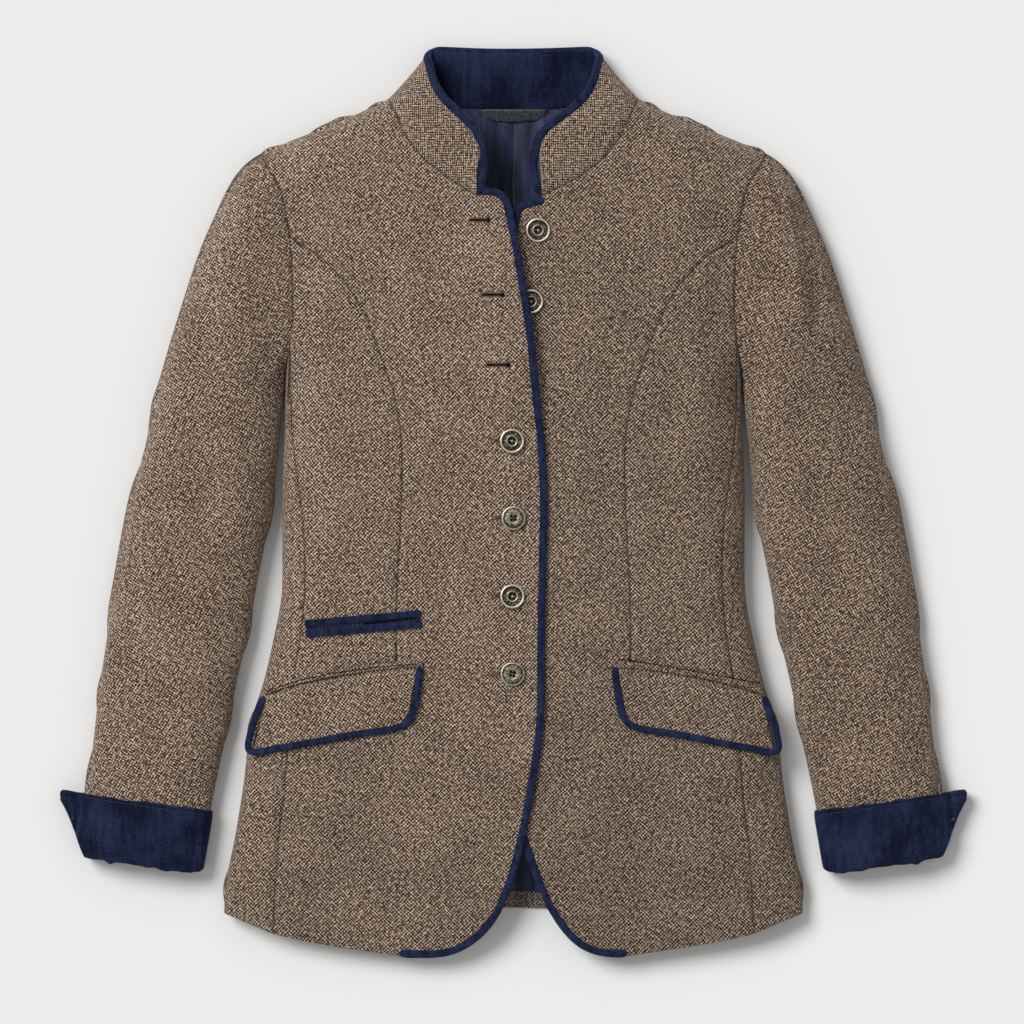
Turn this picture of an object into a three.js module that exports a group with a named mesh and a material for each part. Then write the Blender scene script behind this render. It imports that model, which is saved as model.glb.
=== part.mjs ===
// Tweed blazer with a stand collar, velvet edges and turned-up velvet cuffs, laid flat on its back.
// X runs to the image right, Y toward the collar and Z up from the surface. Sizes are in millimetres.
import * as THREE from "three";

// Cloth and seams
const TWEED_WALL = 2.2;
const FACING_WALL = 1.4;
const LINING_WALL = 1.0;
const SEAM_INSET = 0.2;
const LAID_ON = 0.5;
const BINDING_WIDTH = 4.8;
const BINDING_THICKNESS = 2.8;
const BAND_SECTION = [[-0.5, -0.42], [0.3, -0.5], [0.5, -0.22], [0.5, 0.22], [0.3, 0.5], [-0.5, 0.42]];

// Height of the fold that runs round the laid garment, and how far the cloth takes to rise and fall beside it
const FOLD_HEIGHT = 13;
const RISE_SPAN = 45;
const FALL_SPAN = 14;
const UNDER_WRAP = 16;
const SIDE_PANEL_WRAP = 60;

// Heights of the upper layer down the garment
const HEIGHTS = [
  { y: -400, body: 17, sleeve: 22, armhole: 31 },
  { y: -340, body: 24, sleeve: 23, armhole: 31 },
  { y: -280, body: 30, sleeve: 25, armhole: 31 },
  { y: -200, body: 34, sleeve: 29, armhole: 31 },
  { y: -100, body: 37, sleeve: 33, armhole: 31 },
  { y: 0, body: 39, sleeve: 37, armhole: 31 },
  { y: 100, body: 44, sleeve: 40, armhole: 32 },
  { y: 170, body: 45, sleeve: 42, armhole: 36 },
  { y: 240, body: 42, sleeve: 40, armhole: 36 },
  { y: 290, body: 37, sleeve: 35, armhole: 34 },
  { y: 340, body: 33, sleeve: 33, armhole: 33 },
];
const ARMHOLE_VALLEY_SPAN = 30;
const SLOPE_STEP = 1;

// Soft folds: positive height is a ridge, negative a trough. a is the distance from the middle line.
const FOLDS = [
  { a0: 136, y0: 128, a1: 119, y1: 4, height: -1.6, width: 11 },
  { a0: 104, y0: 60, a1: 104, y1: -60, height: 1.0, width: 9 },
  { a0: 221, y0: 262, a1: 231, y1: 150, height: 2.2, width: 10 },
  { a0: 252, y0: 120, a1: 300, y1: -20, height: -1.2, width: 14 },
  { a0: 262, y0: -60, a1: 318, y1: -110, height: -1.5, width: 12 },
  { a0: 150, y0: -225, a1: 175, y1: -330, height: 1.6, width: 18 },
  { a0: 90, y0: -225, a1: 96, y1: -340, height: -1.4, width: 20 },
];

// Edge lines of the right half, as distance from the middle line and height up the garment
const SHOULDER_LINE = [[102.3, 331.4], [112, 326.4], [122.6, 321.4], [134, 316.5], [146.8, 311.6], [162, 305],
  [185, 295.8], [200.9, 287.8], [206.5, 284.3]];
const SLEEVE_OUTER = [[206.5, 284.3], [216, 278], [223.9, 270.5], [233.3, 255.8], [241, 239.4], [248.5, 223],
  [255.4, 206.6], [266.5, 173.8], [276.8, 141], [286.6, 108.2], [295.6, 75.4], [303.4, 42.6], [312, 9.8],
  [319.4, -23], [325.1, -55.8], [330.5, -88.6], [335.4, -121.4], [340.3, -154.2], [344, -187], [347.7, -219.8],
  [350.4, -247], [352.5, -276]];
const SLEEVE_INNER = [[187, 101.7], [188.9, 88], [190.6, 70], [192.2, 51.7], [193.9, 36], [196.4, 11.5],
  [200, -13.1], [204.2, -33.6], [209.1, -58.2], [214.4, -86.1], [218.9, -111.5], [221.8, -121.4],
  [228.8, -154.2], [235.3, -187], [242.3, -219.8], [248.5, -250], [253.8, -282]];
const ARMHOLE_FRONT = [[206.5, 284.3], [203.8, 277.2], [196.8, 267.3], [190.6, 255.8], [187, 238], [183.3, 217.3]];
const ARMHOLE_SIDE = [[183.3, 217.3], [181.6, 195.2], [180.8, 169.7], [181.2, 147], [183.4, 126]];
const ARMHOLE_UNDER = [[183.4, 126], [187, 101.7]];
const BODY_SIDE = [[187, 101.7], [187.6, 76.3], [188.3, 51.7], [189, 37.7], [189.8, 18], [189.9, -13.1],
  [189.9, -36.9], [190.2, -72.2], [192.5, -90.2], [197.2, -113.2], [202.5, -137.8], [207.5, -154.2],
  [212.4, -170.6], [216.9, -187], [219.6, -211], [222.2, -236.2], [225, -252.6], [227.6, -269],
  [230.8, -285.4], [234.1, -301.8], [236.6, -318.2], [237.6, -337]];
const PRINCESS = [[183.3, 217.3], [167, 206.6], [150.5, 195.2], [137, 179.6], [124.6, 159.9], [115.2, 139.4],
  [108.2, 119.7], [100.9, 99.2], [95.1, 77.1], [91.4, 50.8], [91, 19.7], [92.1, -8.2], [93.3, -36.9],
  [95.1, -64], [96, -96.8], [96, -131]];
const SIDE_SEAM_UPPER = [[183.4, 126], [183.2, 100], [182.6, 68], [180.2, 43.5], [176.7, 18], [173.4, -6.6],
  [171, -35.3], [171, -72.2], [173.4, -105], [177.8, -129], [180.5, -147.5]];
const SIDE_SEAM_LOWER = [[180.5, -147.5], [183.4, -178], [185.5, -208.3], [188.4, -244.4], [192.3, -275.5],
  [195.6, -318.2], [197.2, -353.8]];
const POCKET_LINE = [[96, -131], [180.5, -147.5]];
const COLLAR_SEAM = [[102.3, 331.4], [98.4, 322], [93.4, 312.4], [88.4, 301], [81.8, 290.3], [74.4, 282],
  [66, 273.9], [54.5, 266.3], [46.3, 260.8], [38.1, 255.4], [27.5, 250.8]];

// Finished front edges, each measured toward its own side
const OVER_TOP_EDGE = [[24.6, 256.4], [16, 255.6], [10.2, 253.4], [6.2, 250], [3, 244.4]];
const OVER_FRONT_EDGE = [[3, 244.4], [1.2, 236.6], [-3.7, 214], [-7.8, 188.6], [-12.2, 164], [-15.7, 138.6],
  [-18.5, 113.2], [-20.9, 88.6], [-23, 67.2], [-25, 50], [-27, 10], [-27.2, -16.4], [-26.4, -50],
  [-25.6, -83.6], [-25, -131]];
const OVER_SKIRT_EDGE = [[-25, -131], [-24.4, -178.8], [-16.5, -236.2], [-5.3, -291], [6.2, -326.4],
  [17.6, -346.9], [31.6, -361], [48, -370.2], [66, -373.6], [91.4, -372.9]];
const UNDER_TOP_EDGE = [[23, 249.4], [17, 247.4], [10.4, 245.8], [4.6, 243.4], [1.2, 238.4]];
const UNDER_FRONT_EDGE = [[1.2, 238.4], [-1.4, 224], [-8.6, 164], [-12.7, 110], [-19, 84], [-21.7, 60],
  [-21.7, 0], [-21.7, -60], [-21.7, -131]];
const UNDER_SKIRT_EDGE = [[-21.7, -131], [-20.5, -170], [-15.2, -211.6], [-5, -246], [3.6, -270],
  [10.8, -290], [18.5, -311], [29.1, -334.6], [43.9, -355.9], [57.8, -367.2], [74, -372.4], [91.4, -372.9]];
const FRONT_HEM = [[91.4, -372.9], [123.4, -368.2], [157, -363.3], [183, -357.4], [197.2, -353.8]];

// How far the free front edge stands off, down the edge
const EDGE_LIFT = [
  { y: -400, lift: 0 },
  { y: 60, lift: 0 },
  { y: 82, lift: 2.8 },
  { y: 104, lift: 5.4 },
  { y: 150, lift: 5.8 },
  { y: 222, lift: 5 },
  { y: 260, lift: 3 },
  { y: 300, lift: 0 },
];
const EDGE_LIFT_FLAT = 18;
const EDGE_LIFT_SPAN = 38;
const OVERLAP_RISE = 1.7;
const OVERLAP_DROP = 1.5;
const OVERLAP_FADE = { from: 28, to: 62 };
const OVERLAP_FOOT = { y: -300, span: 60, x: 20, width: 30 };

// Rungs from edge to seam in each stretch of a panel
const SHOULDER_RUNGS = 6;
const ARMHOLE_SIDE_RUNGS = 4;
const PRINCESS_RUNGS = 12;
const POCKET_RUNGS = 2;
const SKIRT_RUNGS = 12;
const BOUND_RUNGS = 8;
const CORNER_SHARE = 4 / 9;
const TOP_PARTS = 6;
const FRONT_PARTS = 26;
const SKIRT_PARTS = 24;
const CORNER_PICKS = [0, 0, 2, 4, 6];
const POCKET_AT_Y = -135;
const SKIRT_AT_Y = -166;
const HEM_START = 0.01;
const EDGE_SAMPLES = 400;
const BEND_SAMPLES = 240;
const BEND_WEIGHT = 40;
const SLEEVE_RUNGS = 11;
const FRONT_COLUMNS = 9;
const SIDE_FRONT_COLUMNS = 4;
const SIDE_PANEL_COLUMNS = 4;
const SLEEVE_COLUMNS = 8;
const FOLD_ANGLES = [0.42, 0.95, Math.PI / 2];
const UNDER_SLEEVE_START = 4;
const UNDER_SLEEVE_SHARES = [0, 0.5, 1];
const SLEEVE_FAN = 4;
const SLEEVE_SPACING = 1.15;
const FLAP_STATIONS = 20;
const ARMHOLE_LINE = { top: 262, foot: 124 };
const ARMHOLE_CORNER = [[126.4, 102.6], [168, 102.6], [181, 122]];

// Collar band from the front corner to the shoulder fold: the tweed edge, then the bound edge beyond it
const COLLAR_FRONT = [
  { tweedA: 24.8, tweedY: 285.4, doneA: 18.6, doneY: 286.5, z: 41.5 },
  { tweedA: 27.8, tweedY: 296.4, doneA: 21.4, doneY: 300, z: 41.5 },
  { tweedA: 36, tweedY: 307.5, doneA: 32, doneY: 312, z: 41 },
  { tweedA: 50, tweedY: 319, doneA: 45.4, doneY: 323.6, z: 39.5 },
  { tweedA: 62, tweedY: 331.5, doneA: 57, doneY: 335, z: 36 },
  { tweedA: 69.2, tweedY: 346, doneA: 64.6, doneY: 349, z: 31 },
  { tweedA: 72.4, tweedY: 358, doneA: 67.6, doneY: 360.4, z: 25 },
];
// The same band from the shoulder fold to the middle of the back, with its seam
const COLLAR_BACK = [
  { seamA: 101, seamY: 330.4, seamZ: 5.6, tweedA: 73.4, tweedY: 364.4, doneA: 70.6, doneY: 368.6, z: 16.5 },
  { seamA: 94, seamY: 329.4, seamZ: 0.6, tweedA: 69.8, tweedY: 367.4, doneA: 67.4, doneY: 372, z: 9 },
  { seamA: 86, seamY: 328.4, seamZ: 0.1, tweedA: 65.6, tweedY: 368.4, doneA: 64, doneY: 373.2, z: 7.2 },
  { seamA: 76, seamY: 327.2, seamZ: 0, tweedA: 59.6, tweedY: 368.8, doneA: 58.6, doneY: 373.6, z: 6.4 },
  { seamA: 50, seamY: 325, seamZ: 0, tweedA: 40, tweedY: 368, doneA: 39.6, doneY: 372.8, z: 5.6 },
  { seamA: 25, seamY: 323.6, seamZ: 0, tweedA: 20, tweedY: 367.4, doneA: 20, doneY: 372.2, z: 5.2 },
  { seamA: 0, seamY: 323, seamZ: 0, tweedA: 0, tweedY: 367.2, doneA: 0, doneY: 372, z: 5 },
];
const COLLAR_END = [[24, 253.6], [21.6, 263], [20.2, 275]];
const COLLAR_COLUMNS = 3;
const COLLAR_SWELL = 2;
const COLLAR_LEAN = -5.6;
const COLLAR_LEAN_FROM = 62;
const COLLAR_LEAN_Y = { from: 205, span: 45 };
const COLLAR_BINDING_SHARE = 0.54;
const COLLAR_END_Y = { from: 250, span: 36 };
const FACING_TRIM = 1;

// Turned-up cuffs
const CUFF = {
  innerTop: [249.1, -252.6],
  innerFoot: [258.2, -306.8],
  outerTop: [350.4, -238.6],
  outerFoot: [351, -293.6],
};
const CUFF_WALL = 3;
const CUFF_ROWS = 3;
const CUFF_WING_TOP = 24;
const CUFF_WING_FOOT = 2;
const CUFF_TIP = { shoulder: 21, upper: 16.5, lower: 7.5, foot: 2 };
const CUFF_TIP_SHARE = { shoulder: 0.12, foot: 0.3 };
const CUFF_OVER = { first: 1.2, second: 7, shares: [0.2, 0.4, 0.62, 0.8] };
const CUFF_CORNER_SHARE = 0.7;
const CUFF_UNDER = [
  { share: 0.95, z: 0 },
  { share: 0.7, z: 0 },
  { share: 0.4, z: 0 },
  { share: 0.12, z: 0 },
  { share: 0.03, z: 1.4 },
];
const SLEEVE_RAISE = 3.6;
const SLEEVE_RAISE_FROM = -205;
const SLEEVE_RAISE_TO = -230;

// Hip flap from its front end to its back end, the binding round it, the jet above it and the ticket pocket
const FLAP_ROWS = [
  { topA: 82.4, topY: -137.4, footA: 89.4, footY: -174 },
  { topA: 87, topY: -137.7, footA: 95, footY: -180.8 },
  { topA: 98, topY: -138.6, footA: 104, footY: -184 },
  { topA: 120, topY: -141, footA: 129, footY: -187.8 },
  { topA: 150, topY: -145.8, footA: 161, footY: -193.6 },
  { topA: 180, topY: -152.4, footA: 193, footY: -199.6 },
  { topA: 203, topY: -159, footA: 212.4, footY: -202 },
];
const FLAP_EDGE = [[77.7, -137.4], [79.4, -156], [83.2, -173], [88.6, -182.5], [100, -187.5], [129, -192],
  [163, -198.4], [199, -205], [213, -207.6], [218.4, -204.6], [219.4, -199.4], [216.5, -185], [212, -171],
  [207.6, -160.4]];
const FLAP_WALL = 2;
const FLAP_COLUMNS = 3;
const FLAP_ROWS_CUT = 11;
const FLAP_BINDING_WIDTH = 4.2;
const FLAP_BINDING_THICKNESS = 2.6;
const FLAP_SHIFT = 3.3;
const FLAP_SHIFT_FADE = { from: 78, span: 140 };
const FLAP_LEVEL_SPAN = 15;
const JET_LINE = [[75, -131], [91, -130.8], [123, -134.3], [157, -139.8], [190, -147.6], [204.4, -152.6]];
const JET_HEIGHT = 4.9;
const JET_PARTS = 7;
const TICKET_PARTS = 6;
const TICKET_LINE = [[77, -88.6], [170.5, -96.8]];
const WELT_HEIGHT = 6.6;
const WELT_SLIT = 0.9;
const WELT_WALL = 1.6;

// Buttons, fastened and open
const BUTTON_PROFILE = [[0, 0], [8.6, 0], [10.2, 1.3], [10.2, 2.3], [9, 3.1], [7.2, 2.1], [0, 1.8]];
const BUTTON_SIDES = 16;
const BUTTONS = [
  { name: "button_1_open", x: 20.1, y: 222.2, over: false },
  { name: "button_2_open", x: 14.4, y: 164, over: false },
  { name: "button_3_open", x: 9.8, y: 111, over: false },
  { name: "button_4", x: -1.2, y: 50, over: true },
  { name: "button_5", x: 0, y: -13.1, over: true },
  { name: "button_6", x: -0.9, y: -77.1, over: true },
  { name: "button_7", x: -0.7, y: -140.6, over: true },
];

// Inside
const BACK_HEM = [[0.3, -333.7], [176.9, -336.6]];
const BACK_NECK = [[84, 327.4], [76, 326.6], [50, 324.4], [25, 323], [0.3, 322.4]];
const BACK_GAP = 0.4;
const BACK_HEM_STEP = 8;
const LINING_EDGE = [[0.4, -320.6], [118, -322], [118, 284], [104, 300], [86, 316], [66, 324.6], [25, 323.2],
  [0.4, 322.6]];
const LOOP_EDGE = [[-26.7, 323.2], [26.7, 323.2], [25, 318], [18, 313.4], [-17.6, 313.4], [-25, 318]];
const LOOP_THICKNESS = 2;

// Parts that the outlines are read in, the tails that carry them past the hems and the grid that corners merge on
const OUTLINE_PARTS = 90;
const ARMHOLE_PARTS = { front: 30, side: 30, under: 4 };
const OUTLINE_TAIL = { outer: [354, -400], inner: [268, -400], side: [238, -420] };
const MERGE_PARTS = 500;
const TINY = 1e-3;

const { clamp, lerp } = THREE.MathUtils;
const smooth = (value) => THREE.MathUtils.smootherstep(value, 0, 1);
const spot = (a, y) => new THREE.Vector3(a, y, 0);
const curve = (points) => new THREE.CatmullRomCurve3(points, false, "centripetal");
const plan = (rows) => curve(rows.map(([a, y]) => spot(a, y)));
const even = (line, parts) => line.getSpacedPoints(parts);
const joined = (...runs) => runs.reduce((all, run) => all.concat(run.slice(all.length ? 1 : 0)), []);

// A value read from a table of rows that rise in y
function between(rows, y, column) {
  const upper = rows.findIndex((row) => row.y >= y);
  if (upper < 0) return rows[rows.length - 1][column];
  if (upper === 0) return rows[0][column];
  const low = rows[upper - 1];
  const high = rows[upper];
  return lerp(low[column], high[column], (y - low.y) / (high.y - low.y));
}

// Nearest point of a run of points, with the direction from it
function nearest(run, x, y) {
  let best = { distance: Infinity, nx: 0, ny: 0 };
  for (let i = 0; i + 1 < run.length; i++) {
    const dx = run[i + 1].x - run[i].x;
    const dy = run[i + 1].y - run[i].y;
    const along = clamp(((x - run[i].x) * dx + (y - run[i].y) * dy) / (dx * dx + dy * dy), 0, 1);
    const px = x - run[i].x - along * dx;
    const py = y - run[i].y - along * dy;
    const distance = Math.hypot(px, py);
    if (distance < best.distance) {
      const length = Math.hypot(dx, dy);
      const side = Math.sign(px * dy - py * dx) || 1;
      best = distance > 0.3
        ? { distance, nx: px / distance, ny: py / distance }
        : { distance, nx: (side * dy) / length, ny: (-side * dx) / length };
    }
  }
  return best;
}

const outline = (rows) => even(plan(rows), OUTLINE_PARTS);
const outerEdge = joined(outline(SHOULDER_LINE), outline(SLEEVE_OUTER)).concat(spot(...OUTLINE_TAIL.outer));
const innerEdge = outline(SLEEVE_INNER).concat(spot(...OUTLINE_TAIL.inner));
const sideEdge = outline(BODY_SIDE).concat(spot(...OUTLINE_TAIL.side));
const armholeLine = joined(
  even(plan(ARMHOLE_FRONT), ARMHOLE_PARTS.front),
  even(plan(ARMHOLE_SIDE), ARMHOLE_PARTS.side),
  even(plan(ARMHOLE_UNDER), ARMHOLE_PARTS.under),
);

// Level of the upper layer before its edges turn down, with the soft folds
function level(x, y, part) {
  const own = between(HEIGHTS, y, part);
  const seam = between(HEIGHTS, y, "armhole");
  const away = smooth(nearest(armholeLine, x, y).distance / ARMHOLE_VALLEY_SPAN);
  const folds = FOLDS.reduce((sum, fold) => {
    const run = [spot(fold.a0, fold.y0), spot(fold.a1, fold.y1)];
    const reach = nearest(run, x, y).distance / fold.width;
    return sum + fold.height * Math.exp(-reach * reach);
  }, 0);
  return lerp(seam, own, away) + folds;
}

// Point and outward direction of the upper layer over a place on the right half
function upper(x, y, part, keepOff = 0) {
  const edges = part === "sleeve" ? [outerEdge, innerEdge] : [outerEdge, sideEdge];
  const edge = edges.map((run) => nearest(run, x, y)).reduce((a, b) => (b.distance < a.distance ? b : a));
  const share = clamp(Math.max(edge.distance, keepOff) / RISE_SPAN, 0, 1);
  const rise = Math.sqrt(1 - (1 - share) ** 2);
  const top = level(x, y, part);
  const slopeX = (level(x + SLOPE_STEP, y, part) - level(x - SLOPE_STEP, y, part)) / (2 * SLOPE_STEP);
  const slopeY = (level(x, y + SLOPE_STEP, part) - level(x, y - SLOPE_STEP, part)) / (2 * SLOPE_STEP);
  const steep = ((top - FOLD_HEIGHT) / RISE_SPAN) * (1 - share);
  const normal = new THREE.Vector3(
    -steep * edge.nx - rise * rise * slopeX,
    -steep * edge.ny - rise * rise * slopeY,
    Math.max(rise, TINY),
  ).normalize();
  return { point: new THREE.Vector3(x, y, FOLD_HEIGHT + (top - FOLD_HEIGHT) * rise), normal };
}

const raised = (y) => SLEEVE_RAISE * smooth((y - SLEEVE_RAISE_FROM) / (SLEEVE_RAISE_TO - SLEEVE_RAISE_FROM));

// Points that turn from the fold at an edge point to the underside, reach being how far in they end
function turnUnder(edgePoint, inX, inY, reach, floor) {
  const points = FOLD_ANGLES.map((angle) => {
    const inward = FALL_SPAN * (1 - Math.cos(angle));
    return {
      point: new THREE.Vector3(edgePoint.x + inX * inward, edgePoint.y + inY * inward,
        floor + (FOLD_HEIGHT - floor) * (1 - Math.sin(angle))),
      normal: new THREE.Vector3(-inX * Math.cos(angle) / FALL_SPAN, -inY * Math.cos(angle) / FALL_SPAN,
        -Math.sin(angle) / (FOLD_HEIGHT - floor)).normalize(),
    };
  });
  points.push({
    point: new THREE.Vector3(edgePoint.x + inX * reach, edgePoint.y + inY * reach, floor),
    normal: new THREE.Vector3(0, 0, -1),
  });
  return points;
}

// Inward direction of an edge run at one of its points
function inward(run, index, side) {
  const before = run[Math.max(0, index - 1)];
  const after = run[Math.min(run.length - 1, index + 1)];
  const dx = after.x - before.x;
  const dy = after.y - before.y;
  const length = Math.hypot(dx, dy);
  return [(side * dy) / length, (-side * dx) / length];
}

// A closed wall of cloth from a grid of outer points with their outward directions
function wall(grid, thickness, inset = SEAM_INSET, closed = false) {
  const rows = grid.length;
  const columns = grid[0].length;
  const moved = grid.map((row) => row.map((cell) => cell.point.clone()));
  const shift = (i, j, alongA, alongB, inner) => {
    const tangent = alongB.clone().sub(alongA);
    if (tangent.length() < TINY) return;
    const across = tangent.cross(grid[i][j].normal).normalize();
    const toward = inner.clone().sub(grid[i][j].point);
    if (toward.length() < TINY) return;
    moved[i][j].addScaledVector(across, across.dot(toward) < 0 ? -inset : inset);
  };
  const at = (i, j) => grid[clamp(i, 0, rows - 1)][clamp(j, 0, columns - 1)].point;
  if (!closed) {
    for (let j = 0; j < columns; j++) {
      shift(0, j, at(0, j - 1), at(0, j + 1), at(1, j));
      shift(rows - 1, j, at(rows - 1, j - 1), at(rows - 1, j + 1), at(rows - 2, j));
    }
  }
  for (let i = 0; i < rows; i++) {
    shift(i, 0, at(i - 1, 0), at(i + 1, 0), at(i, 1));
    shift(i, columns - 1, at(i - 1, columns - 1), at(i + 1, columns - 1), at(i, columns - 2));
  }
  for (let i = 0; i < rows; i++)
    for (let j = 1; j < columns; j++)
      if (at(i, j).distanceTo(at(i, j - 1)) < TINY) moved[i][j].copy(moved[i][j - 1]);
  for (let i = 1; i < rows; i++)
    for (let j = 0; j < columns; j++)
      if (at(i, j).distanceTo(at(i - 1, j)) < TINY) moved[i][j].copy(moved[i - 1][j]);
  const vertices = [];
  const index = new Map();
  const add = (point) => {
    const key = point.toArray().map((v) => Math.round(v * MERGE_PARTS)).join();
    if (!index.has(key)) {
      index.set(key, vertices.length / 3);
      vertices.push(point.x, point.y, point.z);
    }
    return index.get(key);
  };
  const outer = moved.map((row) => row.map(add));
  const under = moved.map((row, i) =>
    row.map((point, j) => add(point.clone().addScaledVector(grid[i][j].normal, -thickness))));
  const faces = [];
  const triangle = (a, b, c) => {
    if (a !== b && b !== c && c !== a) faces.push(a, b, c);
  };
  const quad = (a, b, c, d) => {
    triangle(a, b, c);
    triangle(a, c, d);
  };
  const rowCount = closed ? rows : rows - 1;
  for (let i = 0; i < rowCount; i++) {
    const next = (i + 1) % rows;
    for (let j = 0; j + 1 < columns; j++) {
      quad(outer[i][j], outer[next][j], outer[next][j + 1], outer[i][j + 1]);
      quad(under[i][j], under[i][j + 1], under[next][j + 1], under[next][j]);
    }
    quad(outer[i][0], under[i][0], under[next][0], outer[next][0]);
    quad(outer[i][columns - 1], outer[next][columns - 1], under[next][columns - 1], under[i][columns - 1]);
  }
  if (!closed)
    for (let j = 0; j + 1 < columns; j++) {
      quad(outer[0][j], outer[0][j + 1], under[0][j + 1], under[0][j]);
      quad(outer[rows - 1][j], under[rows - 1][j], under[rows - 1][j + 1], outer[rows - 1][j + 1]);
    }
  return facingOut(vertices, faces);
}

// Geometry with its faces turned so that it encloses a positive volume
function facingOut(vertices, faces) {
  const corner = (i) => new THREE.Vector3().fromArray(vertices, faces[i] * 3);
  let volume = 0;
  for (let i = 0; i < faces.length; i += 3) volume += corner(i).dot(corner(i + 1).cross(corner(i + 2)));
  if (volume < 0)
    for (let i = 0; i < faces.length; i += 3) [faces[i + 1], faces[i + 2]] = [faces[i + 2], faces[i + 1]];
  const geometry = new THREE.BufferGeometry();
  geometry.setAttribute("position", new THREE.Float32BufferAttribute(vertices, 3));
  geometry.setIndex(faces);
  return geometry;
}

const garment = new THREE.Group();
garment.name = "tweed_blazer";
const CLOTHS = {
  tweed: { color: 0x7d6b5c, roughness: 0.95, metalness: 0 },
  velvet: { color: 0x26305e, roughness: 0.8, metalness: 0 },
  lining: { color: 0x232c4c, roughness: 0.5, metalness: 0 },
  metal: { color: 0x8d8068, roughness: 0.4, metalness: 0.9 },
};
function place(name, geometry, cloth) {
  const mesh = new THREE.Mesh(geometry, new THREE.MeshStandardMaterial(CLOTHS[cloth]));
  mesh.name = name;
  garment.add(mesh);
}

// A bound edge: a rounded band swept along cells that hold a point, a surface normal and the outward direction
function strip(cells, width, thickness) {
  const vertices = [];
  const faces = [];
  cells.forEach(({ point, normal, across }) => {
    const out = across.clone().addScaledVector(normal, -across.dot(normal)).normalize();
    BAND_SECTION.forEach(([u, v]) => {
      const corner = point.clone().addScaledVector(out, u * width).addScaledVector(normal, v * thickness);
      vertices.push(corner.x, corner.y, corner.z);
    });
  });
  const sides = BAND_SECTION.length;
  for (let i = 0; i + 1 < cells.length; i++)
    for (let k = 0; k < sides; k++) {
      const a = i * sides + k;
      const b = i * sides + ((k + 1) % sides);
      faces.push(a, b, b + sides, a, b + sides, a + sides);
    }
  const last = (cells.length - 1) * sides;
  for (let k = 1; k + 1 < sides; k++) faces.push(0, k + 1, k, last, last + k, last + k + 1);
  return facingOut(vertices, faces);
}
const mirrored = (cells, side) => cells.map(({ point, normal, across }) => ({
  point: new THREE.Vector3(point.x * side, point.y, point.z),
  normal: new THREE.Vector3(normal.x * side, normal.y, normal.z),
  across: new THREE.Vector3(across.x * side, across.y, across.z),
}));

// A flat piece cut to an edge, lying at a height
function plate(edge, side, z, thickness) {
  const shape = new THREE.Shape(edge.map(([a, y]) => new THREE.Vector2(a * side, y)));
  const geometry = new THREE.ExtrudeGeometry(shape, { depth: thickness, bevelEnabled: false });
  return geometry.translate(0, 0, z);
}

// A closed solid turned about Z from a profile that starts and ends on the axis
function turned(profile, sides) {
  const vertices = [0, 0, profile[0][1]];
  const rings = profile.slice(1, -1);
  rings.forEach(([radius, z]) => {
    for (let k = 0; k < sides; k++) {
      const angle = (2 * Math.PI * k) / sides;
      vertices.push(radius * Math.cos(angle), radius * Math.sin(angle), z);
    }
  });
  vertices.push(0, 0, profile[profile.length - 1][1]);
  const last = vertices.length / 3 - 1;
  const faces = [];
  for (let k = 0; k < sides; k++) {
    const next = (k + 1) % sides;
    faces.push(0, 1 + next, 1 + k);
    for (let r = 0; r + 1 < rings.length; r++) {
      const low = 1 + r * sides;
      faces.push(low + k, low + next, low + sides + next, low + k, low + sides + next, low + sides + k);
    }
    const top = 1 + (rings.length - 1) * sides;
    faces.push(top + k, top + next, last);
  }
  return facingOut(vertices, faces);
}

// Adds outward directions to a grid of points from its own shape
function withNormals(points, closed) {
  const rows = points.length;
  const columns = points[0].length;
  return points.map((row, i) => row.map((point, j) => {
    const before = closed ? points[(i + rows - 1) % rows][j] : points[Math.max(0, i - 1)][j];
    const after = closed ? points[(i + 1) % rows][j] : points[Math.min(rows - 1, i + 1)][j];
    const left = row[Math.max(0, j - 1)];
    const right = row[Math.min(columns - 1, j + 1)];
    const normal = after.clone().sub(before).cross(right.clone().sub(left)).normalize();
    return { point, normal };
  }));
}

// Turns a grid of the right half over to its own side
const onSide = (grid, side) => grid.map((row) => row.map(({ point, normal }) => ({
  point: new THREE.Vector3(point.x * side, point.y, point.z),
  normal: new THREE.Vector3(normal.x * side, normal.y, normal.z),
})));

// Shared stations along the seams, so that neighbours meet point to point
const fraction = (parts, power) => Array.from({ length: parts + 1 }, (_, k) => (k / parts) ** power);
const stations = (rows, parts, power = 1) => fraction(parts, power).map((f) => plan(rows).getPointAt(f));
const armholeFront = stations(ARMHOLE_FRONT, SHOULDER_RUNGS, 1.7);
const armholeSide = stations(ARMHOLE_SIDE, ARMHOLE_SIDE_RUNGS);
const armholeUnder = stations(ARMHOLE_UNDER, 1);
const princess = stations(PRINCESS, PRINCESS_RUNGS);
const sideUpper = stations(SIDE_SEAM_UPPER, PRINCESS_RUNGS - ARMHOLE_SIDE_RUNGS);
const sideLower = stations(SIDE_SEAM_LOWER, SKIRT_RUNGS);
const pocketLine = stations(POCKET_LINE, POCKET_RUNGS);
const collarSeam = stations(COLLAR_SEAM, SHOULDER_RUNGS, 1.7);
const shoulder = stations(SHOULDER_LINE, FRONT_COLUMNS);

// Sideways lean of the collar and neck corner, the same way on both sides
const lean = (a, y) =>
  COLLAR_LEAN * (1 - smooth(a / COLLAR_LEAN_FROM)) * smooth((y - COLLAR_LEAN_Y.from) / COLLAR_LEAN_Y.span);

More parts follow.
